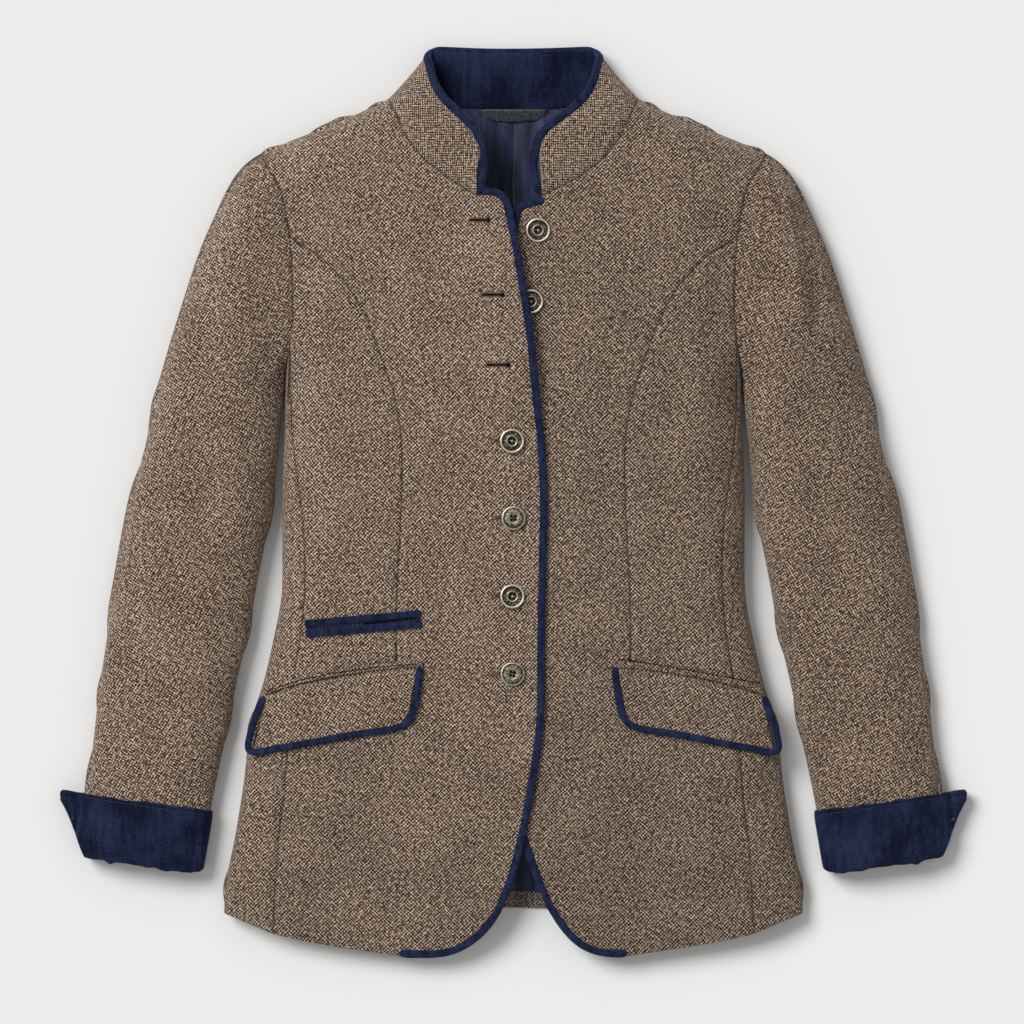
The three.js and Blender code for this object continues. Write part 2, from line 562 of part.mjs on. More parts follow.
// Upper layer of a front, with the lap of the right front over the left
function front(side, x, y) {
  const base = upper(Math.abs(x), y, "body");
  const edge = between(side < 0 ? OVER_EDGE_ROWS : UNDER_EDGE_ROWS, y, "a");
  const fade = 1 - smooth((x - OVERLAP_FADE.from) / (OVERLAP_FADE.to - OVERLAP_FADE.from));
  const towardFoot = smooth((OVERLAP_FOOT.y - y) / OVERLAP_FOOT.span);
  const low = 1 - towardFoot * smooth((x - OVERLAP_FOOT.x) / OVERLAP_FOOT.width);
  const fromEdge = x - edge;
  const lift = between(EDGE_LIFT, y, "lift") * (1 - smooth((fromEdge - EDGE_LIFT_FLAT) / EDGE_LIFT_SPAN));
  const rise = side < 0 ? OVERLAP_RISE * fade * low + lift : -OVERLAP_DROP * fade * low;
  base.point.set(x, y, base.point.z + rise);
  base.normal.x *= Math.sign(x) || 1;
  return base;
}
const edgeRows = (...tables) =>
  even(plan(joined(...tables)), OUTLINE_PARTS).map((p) => ({ y: p.y, a: p.x })).reverse();
const OVER_EDGE_ROWS = edgeRows(OVER_FRONT_EDGE, OVER_SKIRT_EDGE);
const UNDER_EDGE_ROWS = edgeRows(UNDER_FRONT_EDGE, UNDER_SKIRT_EDGE);

// A run of edge points moved in by the width of its binding
function boundIn(run, width) {
  return run.map((point, i) => {
    const [nx, ny] = inward(run, i, -1);
    return spot(point.x + nx * width, point.y + ny * width);
  });
}

// Stations along a stretch of a line, closer together where it bends
function bendStations(line, from, to, parts) {
  const shares = Array.from({ length: BEND_SAMPLES + 1 }, (_, k) => lerp(from, to, k / BEND_SAMPLES));
  const points = shares.map((share) => line.getPointAt(share));
  const tangents = shares.map((share) => line.getTangentAt(share));
  const counts = [0];
  for (let k = 1; k <= BEND_SAMPLES; k++) {
    const bend = BEND_WEIGHT * tangents[k].angleTo(tangents[k - 1]);
    counts.push(counts[k - 1] + points[k].distanceTo(points[k - 1]) + bend);
  }
  return Array.from({ length: parts + 1 }, (_, k) => {
    const wanted = (counts[BEND_SAMPLES] * k) / parts;
    return points[counts.findIndex((count) => count >= wanted - TINY)];
  });
}

const FRONTS = [
  { name: "right", side: -1, top: OVER_TOP_EDGE, front: OVER_FRONT_EDGE, skirt: OVER_SKIRT_EDGE },
  { name: "left", side: 1, top: UNDER_TOP_EDGE, front: UNDER_FRONT_EDGE, skirt: UNDER_SKIRT_EDGE },
];

for (const { name, side, top, front: frontEdge, skirt } of FRONTS) {
  const cloth = (x, y) => front(side, x, y);
  const leaned = (point) => spot(point.x + lean(point.x, point.y) * side, point.y);
  const wholeEdge = joined(
    even(plan(top), TOP_PARTS),
    even(plan(frontEdge), FRONT_PARTS),
    even(plan(skirt), SKIRT_PARTS),
  );
  const edgeIn = boundIn(wholeEdge, BINDING_WIDTH + SEAM_INSET);
  const inner = curve(edgeIn.slice(TOP_PARTS));
  const innerPoints = inner.getSpacedPoints(EDGE_SAMPLES);
  const atHeight = (y) => innerPoints.findIndex((p) => p.y <= y) / EDGE_SAMPLES;
  const pocketAt = atHeight(POCKET_AT_Y);
  const skirtAt = atHeight(SKIRT_AT_Y);
  const hem = plan(FRONT_HEM);
  const inStretch = (from, to, parts) =>
    Array.from({ length: parts + 1 }, (_, k) => inner.getPointAt(lerp(from, to, k / parts)));
  const hemRungs = SKIRT_RUNGS - BOUND_RUNGS - 1;
  const hemRun = Array.from({ length: hemRungs + 1 }, (_, k) => hem.getPointAt(Math.max(HEM_START, k / hemRungs)));
  const corner = CORNER_PICKS.map((k) => edgeIn[k]);
  const leftRun = joined(
    collarSeam.map(leaned),
    corner,
    inStretch(0, pocketAt, PRINCESS_RUNGS),
    inStretch(pocketAt, skirtAt, POCKET_RUNGS),
    bendStations(inner, skirtAt, 1, BOUND_RUNGS).concat(hemRun),
  );
  const rightRun = joined(armholeFront, corner.map(() => princess[0]), princess, pocketLine, sideLower);

  // A place on the rung i; the rungs of the neck corner run together away from it
  const onRung = (i, u) => {
    const atCorner = i > SHOULDER_RUNGS && i < SHOULDER_RUNGS + corner.length;
    if (!atCorner) return leftRun[i].clone().lerp(rightRun[i], u);
    const meeting = Math.max(u, CORNER_SHARE);
    const met = leftRun[SHOULDER_RUNGS].clone().lerp(rightRun[SHOULDER_RUNGS], meeting);
    return leftRun[i].clone().lerp(met, u / meeting);
  };
  const rows = leftRun.map((_, i) => {
    const fadeTop = Math.max(0, 1 - i / SHOULDER_RUNGS) ** 2;
    return Array.from({ length: FRONT_COLUMNS + 1 }, (_, j) => {
      const u = j / FRONT_COLUMNS;
      const bow = shoulder[j].clone().sub(shoulder[0].clone().lerp(shoulder[FRONT_COLUMNS], u));
      const place = onRung(i, u).addScaledVector(bow, fadeTop);
      return cloth(place.x, place.y);
    });
  });
  const wraps = rows[0].map((cell, j) => {
    const [nx, ny] = inward(shoulder, j, 1);
    return turnUnder(cell.point, nx, ny, UNDER_WRAP, 0);
  });
  for (let k = 0; k <= FOLD_ANGLES.length; k++) rows.unshift(wraps.map((wrap) => wrap[k]));
  place("front_" + name, wall(onSide(rows, side), TWEED_WALL), "tweed");

  const sideRight = joined(armholeSide, sideUpper);
  const sideFront = princess.map((left, i) =>
    Array.from({ length: SIDE_FRONT_COLUMNS + 1 }, (_, j) => {
      const { x, y } = left.clone().lerp(sideRight[i], j / SIDE_FRONT_COLUMNS);
      return upper(x, y, "body");
    }));
  place("side_front_" + name, wall(onSide(sideFront, side), TWEED_WALL), "tweed");

  const seam = joined(sideUpper, sideLower);
  const bodySide = stations(BODY_SIDE, seam.length - 1);
  const sidePanel = seam.map((from, i) => {
    const edge = bodySide[i];
    const apart = nearest(sideEdge, from.x, from.y).distance;
    const start = Math.acos(1 - Math.min(1, apart / RISE_SPAN));
    const row = Array.from({ length: SIDE_PANEL_COLUMNS + 1 }, (_, j) => {
      const angle = start * (1 - j / SIDE_PANEL_COLUMNS);
      const share = (RISE_SPAN * (1 - Math.cos(angle))) / Math.max(apart, TINY);
      const { x, y } = edge.clone().lerp(from, share);
      return upper(x, y, "body");
    });
    return row.concat(turnUnder(edge, -1, 0, SIDE_PANEL_WRAP, 0));
  });
  place("side_panel_" + name, wall(onSide(sidePanel, side), TWEED_WALL), "tweed");

  const sleeveLeft = joined(armholeFront, armholeSide, armholeUnder, stations(SLEEVE_INNER, SLEEVE_RUNGS));
  const capRungs = SHOULDER_RUNGS + ARMHOLE_SIDE_RUNGS + 1;
  const outer = plan(SLEEVE_OUTER);
  const sleeveRight = sleeveLeft.map((_, i) => outer.getPointAt((i / (sleeveLeft.length - 1)) ** SLEEVE_SPACING));
  const topSleeve = sleeveLeft.map((left, i) => {
    const right = sleeveRight[i];
    const row = Array.from({ length: SLEEVE_COLUMNS + 1 }, (_, j) => {
      const crowded = (1 - Math.cos((Math.PI * j) / SLEEVE_COLUMNS)) / 2;
      const { x, y } = left.clone().lerp(right, lerp(j / SLEEVE_COLUMNS, crowded, Math.min(1, i / SLEEVE_FAN)));
      return upper(x, y, "sleeve");
    });
    const [ox, oy] = i ? inward(sleeveRight, i, 1) : inward(shoulder, FRONT_COLUMNS, 1);
    const outside = turnUnder(right, ox, oy, UNDER_WRAP, raised(right.y));
    const inside = i <= capRungs
      ? FOLD_ANGLES.concat(0).map(() => row[0])
      : turnUnder(left, ...inward(sleeveLeft, i, -1), UNDER_WRAP, raised(left.y));
    return inside.reverse().concat(row, outside);
  });
  place("top_sleeve_" + name, wall(onSide(topSleeve, side), TWEED_WALL), "tweed");

  const underSleeve = sleeveLeft.map((left, i) => {
    const right = sleeveRight[i];
    const [ox, oy] = inward(sleeveRight, i, 1);
    const [lx, ly] = i >= capRungs ? inward(sleeveLeft, i, -1) : [0, 0];
    const from = spot(left.x + lx * UNDER_WRAP, left.y + ly * UNDER_WRAP);
    const to = spot(right.x + ox * UNDER_WRAP, right.y + oy * UNDER_WRAP);
    return UNDER_SLEEVE_SHARES.map((u) => {
      const point = from.clone().lerp(to, u);
      point.z = raised(point.y);
      return { point, normal: new THREE.Vector3(0, 0, -1) };
    });
  });
  place("under_sleeve_" + name, wall(onSide(underSleeve.slice(UNDER_SLEEVE_START), side), TWEED_WALL), "tweed");

  const binding = wholeEdge.map((point, i) => {
    const [nx, ny] = inward(wholeEdge, i, -1);
    const at = cloth(point.x + nx * BINDING_WIDTH / 2, point.y + ny * BINDING_WIDTH / 2);
    at.point.addScaledVector(at.normal, -TWEED_WALL / 2);
    return { ...at, across: spot(-nx, -ny) };
  });
  place("front_binding_" + name, strip(mirrored(binding, side), BINDING_WIDTH, BINDING_THICKNESS), "velvet");

  const lowArmhole = joined(armholeFront, armholeSide)
    .filter((p) => p.y < ARMHOLE_LINE.top && p.y > ARMHOLE_LINE.foot);
  const insetShoulder = shoulder.map((p, j) => {
    const [nx, ny] = inward(shoulder, j, 1);
    return [p.x + nx * (UNDER_WRAP + BACK_GAP), p.y + ny * (UNDER_WRAP + BACK_GAP)];
  });
  const backEdge = [
    ...BACK_HEM,
    ...bodySide.slice().reverse()
      .map((p) => [p.x - SIDE_PANEL_WRAP - BACK_GAP, p.y])
      .filter(([, y]) => y > BACK_HEM[1][1] + BACK_HEM_STEP),
    ...ARMHOLE_CORNER,
    ...lowArmhole.reverse().map((p) => [p.x - BACK_GAP, p.y]),
    ...insetShoulder.reverse(),
    ...BACK_NECK,
  ];
  place("back_" + name, plate(backEdge, side, 0, TWEED_WALL), "tweed");
  place("lining_" + name, plate(LINING_EDGE, side, TWEED_WALL + LAID_ON, LINING_WALL), "lining");

  const sleeveTop = (x, y) => upper(x, y, "sleeve");
  const cuff = Array.from({ length: CUFF_ROWS + 1 }, (_, k) => {
    const v = k / CUFF_ROWS;
    const inside = spot(...CUFF.innerTop).lerp(spot(...CUFF.innerFoot), v);
    const outside = spot(...CUFF.outerTop).lerp(spot(...CUFF.outerFoot), v);
    const wing = lerp(CUFF_WING_TOP, CUFF_WING_FOOT, v);
    const e = outside.clone().sub(inside).normalize();
    const width = outside.distanceTo(inside);
    const over = (far) => {
      const { point, normal } = sleeveTop(inside.x + e.x * far, inside.y + e.y * far);
      return point.addScaledVector(normal, CUFF_WALL + LAID_ON);
    };
    const flat = (far, z) => new THREE.Vector3(inside.x + e.x * far, inside.y + e.y * far, z);
    return [
      ...CUFF_UNDER.map(({ share, z }) => flat(width * share, z)),
      flat(-(CUFF_WALL + LAID_ON) * CUFF_CORNER_SHARE, FOLD_HEIGHT / 2),
      flat(-(CUFF_WALL + LAID_ON), FOLD_HEIGHT),
      over(CUFF_OVER.first),
      over(CUFF_OVER.second),
      ...CUFF_OVER.shares.map((share) => over(width * share)),
      flat(width + wing * CUFF_TIP_SHARE.shoulder, CUFF_TIP.shoulder),
      flat(width + wing, CUFF_TIP.upper),
      flat(width + wing, CUFF_TIP.lower),
      flat(width + wing * CUFF_TIP_SHARE.foot, CUFF_TIP.foot),
    ];
  });
  const cuffLoop = cuff[0].map((_, i) => cuff.map((row) => row[i])).reverse();
  place("cuff_" + name, wall(onSide(withNormals(cuffLoop, true), side), CUFF_WALL, 0, true), "velvet");

  const flapShift = (a) => FLAP_SHIFT * side * (1 - (a - FLAP_SHIFT_FADE.from) / FLAP_SHIFT_FADE.span);
  const overBody = (a, y, height) => {
    const at = upper(a, y, "body", FLAP_LEVEL_SPAN);
    at.point.z += height;
    return at;
  };
  const flapTop = even(plan(FLAP_ROWS.map((row) => [row.topA, row.topY])), FLAP_ROWS_CUT);
  const flapFoot = even(plan(FLAP_ROWS.map((row) => [row.footA, row.footY])), FLAP_ROWS_CUT);
  const flap = flapTop.map((top, i) => Array.from({ length: FLAP_COLUMNS + 1 }, (_, j) => {
    const { x, y } = top.clone().lerp(flapFoot[i], j / FLAP_COLUMNS);
    return overBody(x + flapShift(x), y, LAID_ON + FLAP_WALL);
  }));
  place("flap_" + name, wall(onSide(flap, side), FLAP_WALL), "tweed");
  const flapEdge = even(plan(FLAP_EDGE), FLAP_STATIONS).map((p) => spot(p.x + flapShift(p.x), p.y));
  const flapBinding = flapEdge.map((p, i) => {
    const [nx, ny] = inward(flapEdge, i, -1);
    const half = FLAP_BINDING_WIDTH / 2;
    const at = overBody(p.x + nx * half, p.y + ny * half, LAID_ON + FLAP_BINDING_THICKNESS / 2);
    return { point: at.point, normal: at.normal, across: spot(-nx, -ny) };
  });
  const flapBand = strip(mirrored(flapBinding, side), FLAP_BINDING_WIDTH, FLAP_BINDING_THICKNESS);
  place("flap_binding_" + name, flapBand, "velvet");
  const jetRun = even(plan(JET_LINE), JET_PARTS);
  const jet = jetRun.map((p, i) => {
    const [nx, ny] = inward(jetRun, i, 1);
    return [0, JET_HEIGHT].map((down) => overBody(p.x + nx * down, p.y + ny * down, LAID_ON + WELT_WALL));
  });
  place("flap_jet_" + name, wall(onSide(jet, side), WELT_WALL), "tweed");
}

// Ticket pocket on the wearer's right
for (const { name, from } of [{ name: "upper", from: 0 }, { name: "lower", from: WELT_HEIGHT + WELT_SLIT }]) {
  const run = even(plan(TICKET_LINE), TICKET_PARTS);
  const grid = run.map((p, i) => {
    const [nx, ny] = inward(run, i, 1);
    return [from, from + WELT_HEIGHT].map((down) => {
      const at = upper(p.x + nx * down, p.y + ny * down, "body");
      at.point.z += LAID_ON + WELT_WALL;
      return at;
    });
  });
  place("ticket_welt_" + name, wall(onSide(grid, -1), WELT_WALL, 0), "velvet");
}

// Collar: band, inner facing at the back and the binding along its edge
const collarHalf = (side) => {
  const rows = COLLAR_FRONT.map((row, i) => {
    const seam = collarSeam[SHOULDER_RUNGS - i];
    const x = seam.x + lean(seam.x, seam.y) * side;
    const start = front(side, x, seam.y).point;
    const extra = start.z - upper(seam.x, seam.y, "body").point.z;
    return { ...row, seam: start, z: row.z + extra };
  }).concat(COLLAR_BACK.map((row) => ({ ...row, seam: new THREE.Vector3(row.seamA, row.seamY, row.seamZ) })));
  return rows.map((row) => {
    const shifted = (a, y) => new THREE.Vector3(a * side + lean(a, y), y, row.z);
    return {
      seam: new THREE.Vector3(row.seam.x * side, row.seam.y, row.seam.z),
      tweed: shifted(row.tweedA, row.tweedY),
      done: shifted(row.doneA, row.doneY),
    };
  });
};
const collarRows = collarHalf(1).concat(collarHalf(-1).reverse().slice(1));
const bandPoints = collarRows.map(({ seam, tweed }) =>
  Array.from({ length: COLLAR_COLUMNS + 1 }, (_, j) => seam.clone().lerp(tweed, j / COLLAR_COLUMNS)));
const band = withNormals(bandPoints, false).map((row) => row.map((cell, j) => {
  const swell = COLLAR_SWELL * Math.sin((Math.PI * j) / COLLAR_COLUMNS) * Math.max(0, cell.normal.z);
  return { point: cell.point.clone().addScaledVector(cell.normal, swell), normal: cell.normal };
}));
place("collar", wall(band, TWEED_WALL), "tweed");

const facingRows = band.slice(COLLAR_FRONT.length + 2, band.length - COLLAR_FRONT.length - 2);
const facing = facingRows.map((row) => row.map(({ point, normal }) => ({
  point: point.clone().addScaledVector(normal, -(TWEED_WALL + LAID_ON + FACING_WALL)),
  normal: normal.clone().negate(),
})));
place("collar_facing", wall(facing, FACING_WALL, FACING_TRIM), "velvet");

const collarEdge = collarRows.map(({ tweed, done }, i) => {
  const { normal } = band[i][COLLAR_COLUMNS];
  const point = tweed.clone().lerp(done, COLLAR_BINDING_SHARE).addScaledVector(normal, -TWEED_WALL / 2);
  return { point, normal, across: done.clone().sub(tweed).normalize() };
});
const collarEnd = (side, i) => COLLAR_END.map(([a, y]) => {
  const { normal } = band[i][0];
  const share = (y - COLLAR_END_Y.from) / COLLAR_END_Y.span;
  const point = spot(a * side + lean(a, y), y);
  point.z = lerp(band[i][0].point.z, band[i][COLLAR_COLUMNS].point.z, share) - TWEED_WALL / 2;
  return { point, normal, across: new THREE.Vector3(-side, 0, 0) };
});
const collarBinding = [...collarEnd(1, 0), ...collarEdge, ...collarEnd(-1, band.length - 1).reverse()];
place("collar_binding", strip(collarBinding, BINDING_WIDTH, BINDING_THICKNESS), "velvet");

const onLining = TWEED_WALL + LAID_ON + LINING_WALL + LAID_ON;
place("hanging_loop", plate(LOOP_EDGE, 1, onLining, LOOP_THICKNESS), "tweed");

for (const { name, x, y, over } of BUTTONS) {
  const at = front(over ? -1 : 1, over ? -x : x, y);
  const normal = new THREE.Vector3(over ? -at.normal.x : at.normal.x, at.normal.y, at.normal.z);
  const seat = new THREE.Vector3(x, y, at.point.z).addScaledVector(normal, LAID_ON);
  const geometry = turned(BUTTON_PROFILE, BUTTON_SIDES);
  geometry.applyQuaternion(new THREE.Quaternion().setFromUnitVectors(new THREE.Vector3(0, 0, 1), normal));
  geometry.translate(seat.x, seat.y, seat.z);
  place(name, geometry, "metal");
}

export default garment;
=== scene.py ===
"""Tweed blazer with a stand collar, velvet bindings and turned-up velvet cuffs, laid flat on its back."""

import math
import random

import bmesh
import bpy
from bpy.props import FloatProperty, FloatVectorProperty, IntProperty, PointerProperty
from mathutils import Matrix, Vector, noise
from mathutils.bvhtree import BVHTree


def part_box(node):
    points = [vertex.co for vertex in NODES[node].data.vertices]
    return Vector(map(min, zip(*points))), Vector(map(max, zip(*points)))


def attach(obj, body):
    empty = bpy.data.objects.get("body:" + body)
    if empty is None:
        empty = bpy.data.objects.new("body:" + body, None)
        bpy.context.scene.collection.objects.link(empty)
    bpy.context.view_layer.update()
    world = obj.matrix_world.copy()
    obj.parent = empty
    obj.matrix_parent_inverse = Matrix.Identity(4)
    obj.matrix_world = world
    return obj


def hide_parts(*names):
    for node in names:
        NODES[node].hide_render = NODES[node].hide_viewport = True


bl_info = {
    "name": "Tweed Blazer",
    "version": (1, 0, 0),
    "blender": (4, 5, 0),
    "location": "View3D > Sidebar > Blazer",
    "description": "Dresses a laid-out tweed blazer with cloth, velvet, buttons and stitching",
    "category": "Object",
}

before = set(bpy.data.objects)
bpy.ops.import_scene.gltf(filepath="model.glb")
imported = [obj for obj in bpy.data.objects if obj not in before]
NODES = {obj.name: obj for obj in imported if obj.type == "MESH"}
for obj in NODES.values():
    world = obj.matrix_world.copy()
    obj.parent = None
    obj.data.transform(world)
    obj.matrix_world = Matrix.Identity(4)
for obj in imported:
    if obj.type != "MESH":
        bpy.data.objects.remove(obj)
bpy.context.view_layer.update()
MM = 0.001
SIDES = {"right": -1, "left": 1}
DOWN = Vector((0, 0, -1))
OVERHEAD = 100.0  # millimetres, higher than any piece
SAME_PLACE = 0.02 * MM  # corners of a CAD node that are this close are one
SHARP = math.radians(50)  # edges that turn by more than this are creased
# Painted shade: share of its colour that the cloth of each half keeps, the left half darker as if it lay turned from
# the light
PAINTED_SIDE_SHADE = {"right": 0.97, "left": 0.84}

# Neighbours that a piece is sewn to, so that the seam between them sinks a little and is darkened with painted shade
SEWN_TO = {
    "front": ("side_front", "side_panel", "top_sleeve", "collar"),
    "side_front": ("front", "side_panel", "top_sleeve"),
    "side_panel": ("front", "side_front"),
    "top_sleeve": ("front", "side_front", "side_panel"),
    "collar": ("front_right", "front_left"),
    "flap": ("flap_jet",),
    "flap_jet": ("flap",),
    "ticket_welt_upper": ("ticket_welt_lower",),
    "ticket_welt_lower": ("ticket_welt_upper",),
}

# Upper edges of the jets over the flaps, and the slit of the ticket pocket, in millimetres, along which dark bars paint
# the shade of the groove and the opening
JET_LINES = (
    ((-205.4, -156.6), (-181.6, -147.6), (-148.8, -140.2), (-113.6, -135.3), (-72.6, -132.0)),
    ((84.6, -128.2), (109.2, -131.8), (136.5, -136.5), (161.1, -141.0), (185.7, -145.4), (202.1, -148.8)),
)
TICKET_SLIT = ((-166.5, -103.6), (-140, -101.2), (-113, -98.4), (-88, -95.6), (-79.5, -94.4))

# Soft folds of the upper layer, in millimetres: x0, y0, x1, y1, height, width
DRAPE = (
    (217, 284, 227, 250, 3.2, 5.5),
    (227, 250, 236, 150, 4.4, 6),
    (233, 262, 238, 240, -2.4, 6),
    (239, 240, 250, 150, -4.0, 7.5),
    (-217, 280, -228, 230, 1.8, 6),
    (-243, 60, -262, -60, -1.2, 13),
    (-285, 150, -300, 60, 1.0, 13),
    (258, 150, 285, 50, -1.2, 13),
    (300, -120, 318, -215, 1.1, 13),
    (-300, -90, -322, -200, -1.1, 15),
    (286, -40, 300, -130, -0.9, 12),
    (-330, -60, -338, -190, 0.9, 10),
    (136, 128, 120, 4, -1.1, 9),
    (-128, 101, -104, 40, -1.0, 10),
    (-120, 190, -96, 110, -0.8, 13),
    (-60, 180, -70, 40, 0.8, 20),
    (66, 200, 60, 40, 0.8, 20),
    (-150, -20, -120, -80, 0.9, 13),
    (140, -30, 168, -100, 0.9, 13),
    (-60, -210, -66, -330, 1.0, 18),
    (52, -215, 60, -330, 1.0, 18),
    (-130, -225, -140, -340, -1.0, 18),
    (125, -225, 138, -330, -1.0, 18),
    (190, -215, 205, -320, 0.9, 15),
    (-196, -215, -208, -320, 0.9, 15),
    (-170, 250, -185, 190, -0.8, 10),
    (170, 252, 184, 192, -0.8, 10),
)

# Heights at which a layer begins to take the drape and takes all of it, in millimetres
DRAPE_FROM, DRAPE_ALL = 14, 26
# Painted shade of the skirt: where it is darkest and where it has faded out, in metres up the cloth
SKIRT_SHADE = (-0.32, -0.05)
# Cloth that runs down a rounded side, in millimetres, so that the weave isn't stretched there
SIDE_RUN = 12.6

# How much larger than its solid the collar facing is made, so that it meets the binding all round
FACING_FIT = (1.045, 1.07, 1.07)

# Folds of the right cuff, in millimetres; the left one has them mirrored, a little apart
CUFF_FOLDS = (
    (-356.0, -238, -361.5, -276, -2.2, 1.9),
    (-352.0, -240, -357.5, -278, 2.0, 2.2),
    (-259, -256, -263.5, -301, -0.9, 2.2),
    (-254, -256, -257, -300, 0.6, 1.8),
    (-335, -262, -280, -280, 0.6, 10),
    (-320, -285, -300, -262, -0.7, 9),
)
CUFF_TOP = ((-374, -234.5), (-246.5, -252.8))
CUFF_FOOT = ((-354, -292), (-250.5, -307))
# Corners of the right cuff and their radii, and how wide an angle the rounding fades over
CUFF_CORNERS = (((-375.0, -234.6), 4.5), ((-246.8, -252.6), 3.0), ((-254.6, -305.3), 6.5), ((-353.0, -292.3), 4.0))
CORNER_FADE = 0.5
# Tip of the cuff's wing, how far it is drawn out and how wide around it
WING_TIP, WING_PULL, WING_REACH = (-371, -236), 3.6, (16, 14)
# Rolled upper edge: distance from the edge, width and height; and bumps of the lower edge: x, width and depth
CUFF_ROLL = ((2.2, 2.0, 1.1), (5.6, 1.5, -1.0))
CUFF_BUMPS = ((-331, 3.5, 2.3), (-285, 5, 1.1))

# Buttonholes of the right front from the neck down, the open ones first: left end, eye end and height up the front
OPEN_HOLES = 3
HOLES = (
    (-36.5, -19.3, 230.4), (-26.7, -7.8, 169.2), (-22.6, -2.9, 111.9),
    (-18.6, -3, 50.0), (-17.4, -2, -13.1), (-18.2, -3, -77.1), (-18, -3, -140.6),
)

# Buttons from the neck down: whether the rim stands up round a dished face
BUTTONS = {
    "button_1_open": True, "button_2_open": True, "button_3_open": False, "button_4": True, "button_5": False,
    "button_6": True, "button_7": False,
}

# Holes of a button, in millimetres: distance from its middle lines, radius, and how far round them the metal is
# darkened with painted shade
BUTTON_HOLE = {"off": 1.3, "radius": 0.9, "hole_shade_reach": 1.1}

# Profiles of the two faces from the middle of the back to the middle of the face, in millimetres
DISHED = (
    (0, 0), (8.6, 0), (9.9, 0.5), (10.2, 1.3), (10.05, 2.2), (9.55, 2.9), (8.95, 3.1), (8.4, 2.9), (7.9, 2.3),
    (7.3, 2.05), (5.4, 1.7), (4.9, 1.9), (4.5, 2.5), (4.1, 2.55), (3.7, 2.1), (3.3, 1.75), (1.6, 1.65), (0.5, 1.65),
    (0, 1.65),
)
DOMED = (
    (0, 0), (8.6, 0), (9.9, 0.5), (10.2, 1.3), (10.0, 2.0), (9.4, 2.5), (8.7, 2.75), (8.2, 2.65), (7.7, 2.75),
    (6.4, 2.95), (4.8, 3.1), (4.0, 3.0), (3.4, 2.75), (2.4, 2.65), (1.2, 2.6), (0.5, 2.6), (0, 2.6),
)
# How bright the metal is worn, from the middle of a button to its edge
DISHED_WEAR = ((0, 1), (0.8, 0.8), (1.5, 0.25), (3.3, 0.05), (4.2, 0.75), (4.9, 0.1), (6.2, 0.42), (7.5, 0), (8.1, 0.1),
               (8.7, 1), (9.7, 1), (10.2, 0.1))
DOMED_WEAR = ((0, 0.3), (2.6, 0.3), (3.6, 0.45), (6.5, 0.3), (8.2, 0.05), (8.9, 0.7), (9.6, 0.65), (10.2, 0.1))

# Way that the soft light falls, and the place over which the camera stands, in millimetres
LIGHT_WAY = Vector((0.72, -0.6, -1))
CAMERA_OVER = (-1.2, -8.2, 25)


# ---------------------------------------------------------------- sizes and colours

def length(name, description, default):
    return FloatProperty(name=name, description=description, default=default, min=0, unit="LENGTH", subtype="DISTANCE")


def colour(name, description, default):
    return FloatVectorProperty(name=name, description=description, default=(*default, 1), size=4, min=0, max=1,
                               subtype="COLOR")


class BlazerSizes(bpy.types.PropertyGroup):
    yarn_pitch: length("Yarn pitch", "Distance between the diagonal lines of the tweed", 0.00225)
    seam_depth: length("Seam depth", "How far the cloth sinks along a seam", 0.0013)
    seam_width: length("Seam width", "How far from a seam the cloth still sinks", 0.0028)
    ripple: length("Ripple", "Height of the slow unevenness of the laid cloth", 0.0009)
    thread: length("Thread", "Thickness of the sewing thread", 0.0005)
    smoothness: IntProperty(name="Smoothness", description="Rounds of smoothing on the large panels", default=3,
                            min=1, max=4)


class BlazerColours(bpy.types.PropertyGroup):
    tweed_dark: colour("Tweed dark", "Darkest yarn of the tweed", (0.020, 0.011, 0.006))
    tweed_ground: colour("Tweed ground", "Middle yarn of the tweed", (0.165, 0.106, 0.073))
    tweed_light: colour("Tweed light", "Cream fleck of the tweed", (0.67, 0.515, 0.392))
    velvet: colour("Velvet", "Pile of the velvet", (0.0030, 0.0050, 0.0165))
    velvet_brushed: colour("Velvet brushed", "Pile brushed the other way", (0.022, 0.031, 0.080))
    lining: colour("Lining", "Lining of the body", (0.0055, 0.0075, 0.020))
    lining_bright: colour("Lining bright", "Lining where its yarn catches the light", (0.038, 0.051, 0.118))
    loop: colour("Loop", "Cloth of the hanging loop", (0.0045, 0.0055, 0.0105))
    loop_bright: colour("Loop bright", "Light yarn of the hanging loop", (0.050, 0.052, 0.078))
    metal: colour("Metal", "Antique metal of the buttons", (0.74, 0.66, 0.52))
    metal_dark: colour("Tarnish", "Dark of the buttons' hollows", (0.020, 0.015, 0.010))
    thread: colour("Buttonhole thread", "Twist round the buttonholes", (0.085, 0.058, 0.042))
    pale_thread: colour("Pale thread", "Stitches of the inside", (0.23, 0.18, 0.14))
    # Painted shade: near-black colour of the bars laid in open slits and grooves
    slit_shade: colour("Slit", "Dark of an open buttonhole", (0.004, 0.003, 0.003))


class BlazerStage(bpy.types.PropertyGroup):
    camera_height: length("Camera height", "Height of the camera over the cloth", 6.0)
    frame_width: length("Frame width", "Width that the frame takes in at the cloth", 0.83968)
    key_strength: FloatProperty(name="Key strength", description="Strength of the soft light from the upper left",
                                default=2.56, min=0)
    sky_strength: FloatProperty(name="Sky strength", description="Strength of the light from all round", default=0.47,
                                min=0)


def sizes():
    return bpy.context.scene.blazer_sizes


def colours():
    return bpy.context.scene.blazer_colours


# ---------------------------------------------------------------- nodes of the materials

def add(tree, kind, links=None, **settings):
    """Adds a shader node, sets its values and links its inputs."""
    made = tree.nodes.new(kind)
    for key, value in settings.items():
        if hasattr(made, key):
            setattr(made, key, value)
        else:
            made.inputs[key.replace("_", " ")].default_value = value
    for key, source in (links or {}).items():
        tree.links.new(source, made.inputs[key])
    return made


